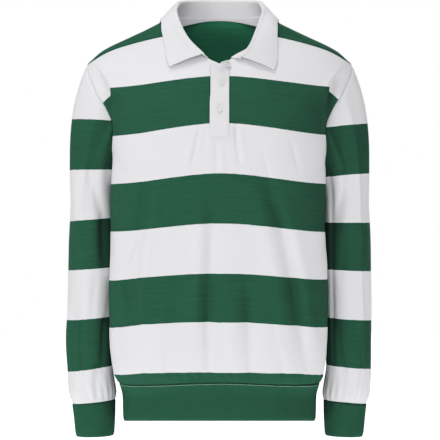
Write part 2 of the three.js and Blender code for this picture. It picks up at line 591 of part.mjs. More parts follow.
// One strip of the collar across its width: up the stand, over the roll and down the fall.
function collarStrip(station, side) {
  const along = necklineAlong[station];
  const at = (column) => collarRing[column](along);
  const seam = collarSeam(station);
  const shift = COLLAR_END_SHIFT.clone().multiplyScalar(side > 0 ? ease((along - 0.6) / 0.4) : 0);
  const roll = vector(at("rollX"), at("rollY"), at("rollZ")).add(shift);
  const rest = clothPoint(body, [], at("edgeV"), radians(at("edgeTurn")));
  const edge = rest.point.addScaledVector(rest.normal, COLLAR_EDGE_LIFT).add(shift);
  const out = edge.clone().sub(roll).setZ(0).normalize();
  const radius = Math.min(ROLL_RADIUS, 0.3 * roll.distanceTo(seam) + 1.4);
  const centre = roll.clone().addScaledVector(out, 0.3 * radius).setZ(roll.z - radius);
  const onRoll = (angle) =>
    centre.clone().addScaledVector(out, -radius * Math.cos(angle)).setZ(centre.z + radius * Math.sin(angle));
  const stand = range(STAND_STEPS).map((k) => seam.clone().lerp(onRoll(0), k / STAND_STEPS));
  const arc = range(ROLL_STEPS).map((k) => onRoll((ROLL_SWEEP * k) / ROLL_STEPS));
  const fall = range(FALL_STEPS + 1).map((k) => {
    const share = k / FALL_STEPS;
    const bulge = FALL_BULGE * Math.sin(Math.PI * share);
    return onRoll(ROLL_SWEEP).lerp(edge, share).addScaledVector(rest.normal, bulge);
  });
  return [...stand, ...arc, ...fall].map((point) => ({ point: toSide(point, side) }));
}

function collar() {
  const last = necklineStations.length - 1;
  const stations = [];
  for (let k = -last; k <= last; k += 1) stations.push(collarStrip(Math.abs(k), k < 0 ? -1 : 1));
  const rows = stations[0].map((_, j) => stations.map((strip) => strip[j]));
  return piece("collar", clothWall(rows, { thickness: COLLAR_CLOTH, base: -COLLAR_CLOTH / 2 }), white);
}

// The tape inside the back neck seam.
function neckTape() {
  const reach = PANEL_COLUMNS - 3;
  const heights = [-6, -1, 2.5];
  const rows = heights.map((height) => {
    const strip = [];
    for (let k = -reach; k <= reach; k += 1) {
      const { point } = necklineStations[Math.abs(k)];
      const inward = vector(-point.x, -point.y, 0).normalize();
      const moved = point.clone().addScaledVector(inward, CLOTH + 2 * GAP);
      moved.z += height;
      strip.push({ point: toSide(moved, k < 0 ? -1 : 1) });
    }
    return strip;
  });
  return piece("neck_tape", clothWall(rows, { thickness: TAPE_CLOTH, base: 0 }), white);
}

const STRIP_COLUMNS = 5;
const STRIP_ROWS = 12;

// A point of a strip on the front, at a distance x from the centre line, moved out from the cloth.
function onFront(x, v, off) {
  const { point, normal } = frontPoint(v, Math.sign(x) * turnAtWidth(v, Math.abs(x)));
  return point.addScaledVector(normal, off);
}

function placketStrip(name, low, rise, place) {
  const grid = range(STRIP_ROWS + 1).map((j) =>
    range(STRIP_COLUMNS + 1).map((i) => {
      const across = i / STRIP_COLUMNS;
      return { point: place(across, mix(low, rise(across), j / STRIP_ROWS)) };
    }),
  );
  return piece(name, clothWall(grid, { thickness: PLACKET_CLOTH, base: 0 }), white);
}

// The strip that fills the slot, under the one with the buttons.
function lowerStrip() {
  const half = PLACKET_HALF - GAP;
  const place = (across, v) => onFront(mix(-half, half, across), v, -PLACKET_CLOTH - GAP);
  return placketStrip("placket_lower", slotEnd + GAP, (across) => mix(-81, -101, across), place);
}

// A point of the strip that lies over the slot, whose upper corner has come loose and swung aside.
function onUpperStrip(across, v) {
  const rise = clamp01((v - PLACKET_LIFT_END) / (PLACKET_TOP - PLACKET_LIFT_END));
  const free = mix(rise ** 1.5, rise ** 8, PLACKET_CURL);
  const half = PLACKET_HALF + 1;
  const x = mix(-half, half, across) + PLACKET_SWING * free * (1 - across) ** 1.3;
  return onFront(x, v, GAP + PLACKET_LIFT * free * (1 - across) ** 1.1);
}

const upperStrip = () =>
  placketStrip("placket_upper", slotEnd - 4, (across) => mix(PLACKET_TOP, -86, across), onUpperStrip);

// A sewn button with a raised rim, on the upper strip.
function button({ name, across, v }) {
  const rim = BUTTON_RADIUS;
  const profile = [
    [0, 0],
    [rim - 0.8, 0],
    [rim, 0.8],
    [rim, BUTTON_THICKNESS - 0.6],
    [rim - 0.6, BUTTON_THICKNESS],
    [rim - 1.5, BUTTON_THICKNESS],
    [rim - 2.1, BUTTON_THICKNESS - 0.7],
    [0, BUTTON_THICKNESS - 0.7],
  ].map(([radius, height]) => new THREE.Vector2(radius, height));
  const geometry = new THREE.LatheGeometry(profile, BUTTON_SIDES).rotateX(Math.PI / 2);
  const right = onUpperStrip(across + 0.1, v).sub(onUpperStrip(across - 0.1, v));
  const up = onUpperStrip(across, v + 3).sub(onUpperStrip(across, v - 3));
  const face = right.cross(up).normalize();
  const mesh = piece(name, geometry, cream);
  mesh.quaternion.setFromUnitVectors(vector(0, 0, 1), face);
  mesh.position.copy(onUpperStrip(across, v)).addScaledVector(face, PLACKET_CLOTH + 2 * GAP);
  return mesh;
}

const shirt = new THREE.Group();
shirt.add(frontPanel(), backPanel());
for (const [name, side] of [["left", 1], ["right", -1]]) {
  shirt.add(piece(`sleeve_${name}`, sleeveWall(side), white));
  shirt.add(piece(`cuff_${name}`, cuffWall(side), green));
}
shirt.add(hemBand(), collar(), neckTape(), lowerStrip(), upperStrip());
shirt.add(...BUTTONS.map(button));

export default shirt;
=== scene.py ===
"""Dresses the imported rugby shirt: hooped jersey, ribs, twill collar, placket, sewing and buttons.

The tables give the same form as the part's own, in millimetres, and meshes are made in metres.
X runs across the shirt, Y from its front to its back, and Z up.
"""

import logging
import math
from dataclasses import dataclass, field
from enum import Enum
from typing import Callable, Optional, Sequence

import bmesh
import bpy
import numpy as np
from mathutils import Matrix, Vector
from mathutils.kdtree import KDTree

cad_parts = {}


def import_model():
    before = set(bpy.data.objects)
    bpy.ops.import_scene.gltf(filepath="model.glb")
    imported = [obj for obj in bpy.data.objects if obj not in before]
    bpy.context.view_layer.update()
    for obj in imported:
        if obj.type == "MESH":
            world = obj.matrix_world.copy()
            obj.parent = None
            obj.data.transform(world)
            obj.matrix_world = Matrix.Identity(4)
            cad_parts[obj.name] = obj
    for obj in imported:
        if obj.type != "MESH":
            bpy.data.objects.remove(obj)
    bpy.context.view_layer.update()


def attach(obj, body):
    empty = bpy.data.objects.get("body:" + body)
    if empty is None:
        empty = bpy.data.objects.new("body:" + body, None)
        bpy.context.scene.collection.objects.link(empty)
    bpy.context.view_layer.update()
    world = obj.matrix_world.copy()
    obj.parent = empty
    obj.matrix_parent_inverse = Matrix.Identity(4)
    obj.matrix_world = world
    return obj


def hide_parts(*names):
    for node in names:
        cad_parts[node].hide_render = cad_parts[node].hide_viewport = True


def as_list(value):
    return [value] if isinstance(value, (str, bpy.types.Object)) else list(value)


Array = np.ndarray
LOG = logging.getLogger("rugby_shirt")
MM = 0.001


class Arm(Enum):
    """The two sleeves, by the wearer's side. The value is the sign of x."""

    LEFT = 1
    RIGHT = -1

    @property
    def label(self) -> str:
        """The side's name in lower case."""
        return self.name.lower()


# Walls, in millimetres.
JERSEY = 1.5
RIB = 2.4
COLLAR_CLOTH = 1.8
PLACKET_CLOTH = 1.6
TAPE_CLOTH = 0.9
GAP = 0.3

# Heights along the cloth, which are also real heights at the centre line.
UNDERARM = -290.0
SHOULDER = -82.0
HEM_SEAM = -632.0
HEM_END = -698.0
SHOULDER_SEAM_TOP = -36.0
NECK_FRONT = -87.0
SLOT_END = UNDERARM + (SHOULDER - UNDERARM) * (1 - math.cos(5 * math.pi / 12)) / 2
PLACKET_HALF = 15.0
NECK_SIDE = 79.0
NECK_BACK = 82.0

# Height along the cloth, half width, front, back, power of the superellipse, hollow under the arm.
BODY_SECTIONS = (
    (0, 82, 36, 72, 2, 0),
    (-12, 103.5, 42, 77, 2, 0),
    (-21, 121.5, 46, 82, 2, 0),
    (-38, 157.5, 53, 91, 2, 0),
    (-54, 191.5, 65, 98, 2, 0),
    (-63, 207, 74, 101, 2, 0),
    (-74, 222, 84, 105, 2.03, 0),
    (-82, 232, 91, 108, 2.05, 0),
    (-95, 237, 99, 112, 2.1, 0),
    (-115, 236, 108, 116, 2.15, 1),
    (-150, 221, 119, 120, 2.3, 6),
    (-190, 207, 127, 122, 2.5, 18),
    (-240, 205, 130, 122, 2.6, 30),
    (-300, 207, 130, 121, 2.6, 35),
    (-420, 209, 128, 118, 2.6, 36),
    (-540, 208, 125, 115, 2.6, 34),
    (-590, 203, 121, 113, 2.6, 28),
    (-616, 194, 116, 110, 2.6, 18),
    (-632, 182, 110, 105, 2.6, 8),
)
BAND_SECTIONS = (
    (-632, 181.5, 109.5, 104.5, 2.6, 8),
    (-643, 174, 106, 101, 2.6, 3),
    (-656, 169, 104, 100, 2.6, 0),
    (-691, 168, 103, 99, 2.6, 0),
    (-698, 165.5, 101, 97, 2.6, 0),
)
ARM_Y = 14.0
ARM_SPREAD = 60.0
SIDE_DROP = 15.0
DROP_WIDTH = 187.0
HEM_LEVEL = 0.11
ARMHOLE_TOP_Y = -3.0
ARMHOLE_FRONT = 66.0
ARMHOLE_BACK = 64.0

# Height, inner side, outer side, middle, half of the depth, tilt.
SLEEVE_SECTIONS = (
    (-335, 179.5, 262, 16, 66, 0),
    (-400, 180, 265, 16, 65, 0),
    (-480, 181, 266, 15, 62, 1),
    (-560, 184, 267, 13, 57, 4),
    (-615, 187, 266.5, 11, 52, 7),
    (-645, 183, 265, 9, 48, 7.5),
    (-663, 181, 262, 8, 42, 7.5),
    (-674, 182.5, 258.5, 8, 37, 7.5),
)
CUFF_SECTIONS = (
    (-674, 182.5, 258, 8, 36.5, 7.5),
    (-700, 183, 255, 8, 34, 6),
    (-729, 184.5, 252, 7, 31, 3),
    (-735, 186, 250, 7, 29.5, 2),
)
SLEEVE_SQUARE = 2.2
SLEEVE_TOP = -335.0
CUFF_SEAM = -674.0
CUFF_END = -735.0

# How the sleeve leaves the armhole at its top, flank and underside: direction and reach.
LEAVE_TOP = (115, 0, -247)
LEAVE_FLANK = (62, -14, -125)
LEAVE_UNDER = (26, 0, -22)

# Along, roll line (x, y, z), the outer edge's turn in degrees and its height along the cloth.
COLLAR_RING = (
    (-0.2, -46, 64, 34, 210, -30),
    (0, 0, 79, 36, 180, -31),
    (0.2, 46, 64, 34, 150, -30),
    (0.36, 70, 33, 29, 120, -22),
    (0.45, 77, 4, 13, 95, -11),
    (0.53, 75.5, -19, 3, 75, -12.5),
    (0.58, 72.5, -29, -7, 60, -17.5),
    (0.66, 65, -45, -26, 43, -32),
    (0.75, 57, -60, -41, 34, -45),
    (0.84, 49, -73, -52, 28, -59),
    (0.92, 39, -86, -63, 23.7, -75),
    (1, 28, -97, -74, 19.7, -94),
)
COLLAR_EDGE_LIFT = 3.6
COLLAR_END_SHIFT = (8.0, 0.0, -5.0)
ROLL_RADIUS = 3.2
ROLL_SWEEP = 0.8 * math.pi
FALL_BULGE = 2.5

PLACKET_TOP = -97.0
PLACKET_LIFT = 15.0
PLACKET_SWING = 19.0
PLACKET_LIFT_END = -160.0
PLACKET_CURL = 0.55
# Heights of the strips' upper ends, at the wearer's right side and then at the left one.
LOWER_STRIP_TOP = (-77.5, -104.5)
UPPER_STRIP_TOP = (PLACKET_TOP, -86.0)
LOWER_STRIP_FLARE = 10.0

# Edges of the hoops. The shirt is white above the first edge and changes at each one.
BODY_HOOPS = (-114.6, -193.3, -278.0, -363.0, -447.0, -529.0, -613.0)
SLEEVE_HOOPS = (-180.0, -269.5, -357.0, -444.5, -532.0, -619.5)
# Real heights of each sleeve's edges at its outer and its inner side.
ARM_EDGES = {
    Arm.RIGHT: (
        (-182.7, -193.8),
        (-270.8, -270.8),
        (-360, -353.5),
        (-445.5, -439.5),
        (-532, -525),
        (-622, -611.5),
    ),
    Arm.LEFT: (
        (-190.2, -209.4),
        (-276.2, -284.5),
        (-362.1, -362),
        (-447, -443),
        (-532, -527),
        (-617, -610),
    ),
}

# Height along the cloth, then how much lower a hoop's edge hangs there at the wearer's right side,
# halfway to it, at the centre line, halfway to the left side and at the left side.
HOOP_SAG = (
    (0, 0, 0, 0, 0, 0),
    (-60, 0, 0, 0, 0, 0),
    (-115, 2.5, 2.4, 0.3, -0.5, 0.7),
    (-193, 7.3, 7.1, 3, 4.4, 5.4),
    (-278, 5.1, 5.1, 3.2, 4.2, 4.8),
    (-363, -0.7, -1, 0.3, -1, 0),
    (-447, -1.7, -5, 0.3, -4.2, -3.2),
    (-529, -1.7, -6.5, 1.4, -4.4, -2.4),
    (-613, 2.6, -2.7, 1.9, -1.7, 3),
    (-632, 2.6, -2.7, 1.9, -1.7, 3),
)
SAG_PLACES = (-185.0, -130.0, 0.0, 130.0, 185.0)
# Real height, then how far the body is drawn in at the wearer's right and left side.
SIDE_PULL = (
    (0, 0, 0),
    (-130, 0, 0),
    (-190, 5, 4.5),
    (-270, 3.5, 5.5),
    (-350, 0.5, 4.8),
    (-525, 0, 4.3),
    (-600, 0, 3.8),
    (-640, 0, 0),
)
# The fold of the front beside each arm: height, then how far its edge is from the centre line.
ARM_FOLD_EDGE = (
    (-85, 216),
    (-98, 207),
    (-114, 197),
    (-128, 190),
    (-140, 186),
    (-170, 184.5),
    (-230, 184),
)
RIGHT_FOLD_DEPTH = 8.0
LEFT_FOLD_DEPTH = 11.0
# How far a hoop's edge drops at once where the cloth goes behind the fold.
RIGHT_FOLD_DROP = 11.0
LEFT_FOLD_DROP = 5.0


def clamp01(q: Array) -> Array:
    """Limits q to the range from 0 to 1."""
    return np.clip(q, 0.0, 1.0)


def ease(q: Array) -> Array:
    """Runs smoothly from 0 to 1 as q does."""
    return clamp01(q) ** 2 * (3 - 2 * clamp01(q))


def mix(a: Array, b: Array, q: Array) -> Array:
    """Goes from a to b as q goes from 0 to 1."""
    return a + (b - a) * q


def power(base: Array, exponent: Array) -> Array:
    """A power that keeps the sign of its base."""
    return np.sign(base) * np.abs(base) ** exponent


def unit(a: Array) -> Array:
    """Vectors of length 1, along the last axis."""
    return a / np.maximum(np.linalg.norm(a, axis=-1, keepdims=True), 1e-12)


def xyz(x: Array, y: Array, z: Array) -> Array:
    """Points from three arrays or numbers, which are broadcast together."""
    return np.stack(np.broadcast_arrays(x, y, z), axis=-1).astype(float)


def line_lengths(line: Array) -> Array:
    """Lengths along a line of points, from its first point."""
    return np.concatenate(([0], np.cumsum(np.linalg.norm(np.diff(line, axis=0), axis=1))))


def read_line(line: Array, lengths: Array, at: Array) -> Array:
    """Points of a line, or directions along it, at some lengths."""
    return np.stack([np.interp(at, lengths, axis) for axis in line.T], -1)


def refined(line: Array, step: float) -> Array:
    """A line of points with a point at least every step.

    Args:
        line: the points.
        step: the longest distance between two of them.

    Returns:
        The new points.
    """
    lengths = line_lengths(line)
    at = np.linspace(0, lengths[-1], int(lengths[-1] / step) + 2)
    return read_line(line, lengths, at)


def smoothed(line: Array, times: int) -> Array:
    """A line of points with its small steps evened out.

    Args:
        line: the points.
        times: how often each point moves towards its neighbours.

    Returns:
        The new points.
    """
    for _ in range(times):
        inner = (line[:-2] + 2 * line[1:-1] + line[2:]) / 4
        line = np.concatenate((line[:1], inner, line[-1:]))
    return line


class Curve:
    """A smooth curve through a table's column, whose slopes never overshoot."""

    def __init__(self, at: Sequence[float], value: Sequence[float]) -> None:
        """Works out the slopes.

        Args:
            at: positions, rising or falling.
            value: the value at each position.
        """
        self.sign = 1.0 if at[-1] > at[0] else -1.0
        self.at = np.asarray(at, float) * self.sign
        self.value = np.asarray(value, float)
        rise = np.diff(self.value) / np.diff(self.at)
        before, after = rise[:-1], rise[1:]
        inner = np.where(
            before * after <= 0,
            0.0,
            2 * before * after / np.where(before + after == 0, 1, before + after),
        )
        self.slope = np.concatenate(([rise[0]], inner, [rise[-1]]))

    def __call__(self, position: Array) -> Array:
        """Reads the curve.

        Args:
            position: where to read it.

        Returns:
            The values there.
        """
        p = np.asarray(position, float) * self.sign
        i = np.clip(np.searchsorted(self.at, p, side="right") - 1, 0, len(self.at) - 2)
        span = self.at[i + 1] - self.at[i]
        q = clamp01((p - self.at[i]) / span)
        start = 1 - 3 * q**2 + 2 * q**3
        bend = self.slope[i] * (q - 2 * q**2 + q**3) + self.slope[i + 1] * (q**3 - q**2)
        return self.value[i] * start + self.value[i + 1] * (1 - start) + span * bend


def curves(rows: Sequence[Sequence[float]]) -> list[Curve]:
    """One curve for each column of a table after its first."""
    columns = list(zip(*rows))
    return [Curve(columns[0], column) for column in columns[1:]]


@dataclass(frozen=True)
class Crease:
    """A fold along a bowed line from (x0, z0) down to (x1, z1), raised or, if negative, sunk."""

    x0: float
    z0: float
    x1: float
    z1: float
    bow: float
    spread: float
    height: float
    lean: float = 0.0

    def raise_at(self, a: Array, z: Array, scale: float = 1.0, turn: float = 0.0) -> Array:
        """How much the crease raises the cloth.

        Args:
            a: distance or angle across.
            z: height.
            scale: what one millimetre of spread is in the units of a.
            turn: a whole turn in the units of a, if a runs round a tube.

        Returns:
            Millimetres along the outward direction.
        """
        along = clamp01((z - self.z0) / (self.z1 - self.z0))
        off = a - mix(self.x0, self.x1, along) - self.bow * 4 * along * (1 - along)
        if turn:
            off = (off + turn / 2) % turn - turn / 2
        off = off / (self.spread * scale)
        off = off * (1 + self.lean * np.tanh(off))
        return self.height * np.exp(-(off**2)) * np.sin(math.pi * along)


def creases(*rows: Sequence[float]) -> tuple[Crease, ...]:
    """Creases from rows of their values, in the order of Crease's fields."""
    return tuple(Crease(*row) for row in rows)


# The largest folds, as the part has them.
FRONT_FOLDS = creases(
    (62, -255, 144, -622, 20, 14, -9),
    (96, -300, 166, -610, 14, 16, 4),
    (44, -270, 108, -615, 16, 15, 3.5),
    (-8, -330, -22, -628, -2, 9, -5),
    (-22, -270, -42, -600, -4, 11, 4),
    (46, -440, 51, -628, 0, 10, -5.5),
    (14, -420, 20, -625, 2, 13, 3),
    (-98, -270, -136, -600, -8, 15, 5),
    (-122, -280, -156, -610, -6, 13, -5.5),
    (-66, -420, -84, -625, 0, 14, -3),
    (203, -104, 184, -225, -8, 9, -5),
    (-203, -104, -184, -225, 8, 9, -4),
)
BACK_FOLDS = creases(
    (-70, -215, -118, -620, -10, 15, -7),
    (62, -225, 104, -622, 12, 14, -7),
    (92, -300, 142, -600, 6, 15, 5),
    (-14, -330, -26, -626, 4, 12, -5),
    (-46, -300, -72, -610, -4, 14, 5),
    (22, -380, 40, -620, 0, 13, 4),
)
# On a sleeve the crease runs between turns in degrees from the outer side, over the front.
SLEEVE_FOLDS = {
    Arm.RIGHT: creases(
        (62, -230, 128, -385, 0, 15, -6),
        (30, -250, 70, -400, 0, 17, 3.5),
        (34, -480, 26, -640, 0, 12, 3.5),
        (118, -590, 100, -668, 0, 10, -4),
        (230, -230, 300, -380, 0, 15, -5),
    ),
    Arm.LEFT: creases(
        (70, -250, 132, -400, 0, 15, -4.5),
        (40, -300, 62, -470, 0, 16, 3.5),
        (46, -520, 30, -650, 0, 13, 3),
        (110, -590, 92, -668, 0, 10, -4),
        (220, -470, 310, -560, 0, 14, -5),
    ),
}

# Finer creases, which only the cloth here has.
FRONT_CREASES = creases(
    (26, -190, 29, -238, 0, 2.4, -6.0, 0.3),
    (29, -224, 36, -268, 0, 3.4, -3.2, 0.3),
    (34, -196, 44, -262, -1, 5, 1.4),
    (-34, -192, -50, -268, 2, 3, -2.4, -0.3),
    (-42, -205, -60, -275, 2, 6, 1.3),
    (-24, -198, -25, -246, 0, 3.2, -1.4),
    (-4, -220, -5, -284, 0, 4.2, -1.8, 0.3),
    (3, -225, 6, -300, 0, 6, 1.2),
    (70, -232, 90, -332, 3, 4.6, -2.6, 0.3),
    (86, -312, 118, -415, 2, 5, -3.2, 0.3),
    (112, -395, 130, -505, -2, 5.5, -3.2, -0.2),
    (126, -480, 151, -622, 2, 5.5, -3, 0.2),
    (118, -212, 137, -284, 0, 4.5, -1.6),
    (-108, -222, -123, -286, 0, 4.5, -1.5),
    (-124, -290, -131, -376, -2, 6, -2.4, 0.3),
    (-128, -356, -166, -464, 4, 6, -3, -0.2),
    (-163, -436, -140, -524, -6, 6, -2.6, 0.3),
    (-111, -284, -105, -372, 0, 9, 2.2),
    (-134, -448, -131, -508, 0, 7, 1.8),
    (-11, -296, -18, -456, 1, 6, -2.6, 0.3),
    (-17, -284, -15, -372, 6, 7, 1.5),
    (-38, -452, -38, -534, 0, 7, 1.8),
    (-21, -466, -19, -629, 0, 5, -2.8, -0.2),
    (48, -466, 52, -629, 0, 5, -2.8, 0.2),
    (178, -300, 186, -430, 3, 9, -3),
    (160, -470, 182, -590, 0, 9, -2.6),
    (-182, -320, -190, -470, -3, 9, -2.6),
    (-176, -500, -168, -604, 0, 8, -2.4),
    (-60, -300, -76, -430, -4, 12, -1.6),
    (74, -470, 84, -600, 0, 10, 1.8),
    (-92, -560, -88, -630, 0, 7, -1.8),
    (104, -575, 108, -630, 0, 6, -1.8),
    (190, -128, 158, -196, 0, 8, -2),
    (-190, -126, -156, -190, 0, 8, -1.8),
    (-188, -236, -150, -300, 0, 9, -2.6, 0.3),
    (188, -240, 152, -310, 0, 9, -2.6, 0.3),
)
BACK_CREASES = creases(
    (-150, -150, -60, -222, 6, 8, -1.8, 0.3),
    (150, -146, 64, -214, 4, 8, -1.8, 0.3),
    (-20, -150, -34, -260, 0, 9, -1.4),
    (30, -160, 44, -270, 0, 9, 1.4),
    (-84, -230, -112, -350, -3, 5, -2.6, 0.3),
    (-108, -330, -120, -470, -4, 6, -2.8, -0.2),
    (-116, -450, -112, -600, 3, 6, -2.4),
    (66, -235, 92, -350, 5, 5, -2.8, -0.3),
    (92, -336, 108, -480, 3, 6, -2.8, 0.2),
    (106, -460, 102, -624, 0, 6, -2.8),
    (-16, -340, -24, -500, 2, 6, -2.4, 0.3),
    (-24, -480, -30, -628, 0, 6, -2.6),
    (44, -500, 50, -628, 0, 7, -2.2),
    (-62, -480, -70, -622, 0, 8, 2),
    (150, -300, 168, -440, 0, 9, -2.4),
    (-152, -310, -170, -450, 0, 9, -2.4),
    (160, -470, 150, -610, 0, 9, 2),
    (-160, -500, -150, -612, 0, 9, 2),
    (-186, -240, -140, -310, 0, 9, -2.4, 0.3),
    (186, -236, 142, -300, 0, 9, -2.4, 0.3),
)
SLEEVE_CREASES = {
    Arm.RIGHT: creases(
        (64, -130, 70, -400, 0, 3.5, 2.2),
        (66, -420, 62, -650, 0, 3.5, 2.4),
        (78, -140, 84, -400, 0, 7, -1.5),
        (78, -430, 72, -650, 0, 7, -1.5),
        (70, -262, 108, -330, 0, 6, -1.6),
        (112, -330, 124, -402, 0, 5, -1.6),
        (122, -345, 126, -452, 0, 13, -11),
        (126, -180, 124, -300, 0, 9, -4.5),
        (126, -520, 126, -630, 0, 7, -5),
        (104, -430, 90, -560, 0, 7, -2),
        (28, -505, 22, -612, 0, 6, 1.6),
        (66, -560, 78, -668, 0, 6, -2.2, 0.3),
        (46, -590, 52, -670, 0, 5, 1.6),
        (140, -480, 120, -600, 0, 8, -2.4),
        (250, -250, 290, -330, 0, 6, -2.4, 0.3),
        (280, -420, 240, -520, 0, 7, -2.2),
        (300, -560, 280, -666, 0, 7, -2),
        (340, -300, 352, -420, 0, 9, 1.6),
    ),
    Arm.LEFT: creases(
        (55, -120, 63, -420, 0, 4, 2.4),
        (63, -330, 56, -660, 0, 4, 2.4),
        (43, -120, 50, -420, 0, 7, -1.6),
        (50, -330, 43, -660, 0, 7, -1.6),
        (133, -170, 131, -440, 0, 5, -4.2, 0.4),
        (130, -380, 134, -620, 0, 5, -4.2, 0.4),
        (76, -262, 116, -344, 0, 5, -2.2, 0.3),
        (96, -380, 108, -470, 0, 6, -1.8),
        (86, -470, 74, -590, 0, 7, -2),
        (60, -575, 66, -668, 0, 5, -2.2, 0.3),
        (120, -520, 108, -640, 0, 8, -2.6),
        (24, -420, 20, -560, 0, 8, 1.6),
        (236, -250, 276, -340, 0, 6, -2.4, 0.3),
        (250, -500, 296, -590, 0, 6, -2.4, -0.3),
        (290, -600, 300, -668, 0, 6, -2),
    ),
}


def ripples(a: Array, z: Array, phase: float) -> Array:
    """Slow uneven waves that keep flat cloth from looking stiff, about 1 mm high.

    Args:
        a: distance across, in millimetres.
        z: height.
        phase: sets one piece's waves apart from another's.

    Returns:
        How much the waves raise the cloth.
    """
    first = np.sin(a / 33 + 1.4 * np.sin(z / 83 + phase) + phase)
    second = np.sin(a / 17 - z / 150 + 2.3 * phase + np.sin(z / 57))
    third = np.sin(a / 51 + z / 64 + 0.7 * phase)
    return 0.5 * first + 0.22 * second + 0.4 * third


def gathers(a: Array, pitch: float, phase: float) -> Array:
    """Uneven waves of about the given pitch, between -1 and 1."""
    wander = 0.9 * np.sin(a / (2.7 * pitch) + phase) + 0.6 * np.sin(a / (5.3 * pitch) + 2 * phase)
    return np.sin(2 * math.pi * a / pitch + 2.2 * wander) * (0.65 + 0.35 * np.sin(a / (1.9 * pitch)))


class Tube:
    """Level sections of the body or of its rib band."""

    def __init__(self, rows: Sequence[Sequence[float]]) -> None:
        """Makes the curves of a table of sections."""
        self.half_width, self.front, self.back, self.square, self.hollow = curves(rows)

    def point(self, v: Array, turn: Array) -> Array:
        """Points of the cloth.

        Args:
            v: heights along the cloth.
            turn: 0 at the centre front, a quarter turn at the side of positive x.

        Returns:
            Points in millimetres, on the last axis.
        """
        bend = 2 / self.square(v)
        c = np.cos(turn)
        y = -power(c, bend) * np.where(c > 0, self.front(v), self.back(v))
        pressed = self.hollow(v) * np.exp(-(((y - ARM_Y) / ARM_SPREAD) ** 2))
        full = power(np.sin(turn), bend) * self.half_width(v)
        x = full - np.sign(full) * pressed * ease(np.abs(full) / 120)
        shoulder = ease((-60 - v) / 55)
        hem = mix(1.0, 0.5, ease((-540 - v) / 90))
        drop = SIDE_DROP * shoulder * hem * ease(np.abs(x) / DROP_WIDTH)
        level = HEM_LEVEL * (self.front(v) - np.abs(y))
        drop = mix(drop, level, ease((HEM_SEAM - v) / (HEM_SEAM - HEM_END)))
        return xyz(x, y, v - drop)

    def cloth(self, v: Array, turn: Array, folds: Sequence[Crease] = ()) -> tuple[Array, Array]:
        """The cloth with its large folds.

        Args:
            v: heights along the cloth.
            turn: turns round the section.
            folds: the folds.

        Returns:
            The points, and the directions out of the cloth.
        """
        step = 0.01
        rise = self.point(v + 1, turn) - self.point(v - 1, turn)
        across = self.point(v, turn + step) - self.point(v, turn - step)
        normal = unit(np.cross(across, rise))
        point = self.point(v, turn)
        height = sum((f.raise_at(point[..., 0], point[..., 2]) for f in folds), np.zeros(point.shape[:-1]))
        return point + normal * height[..., None], normal


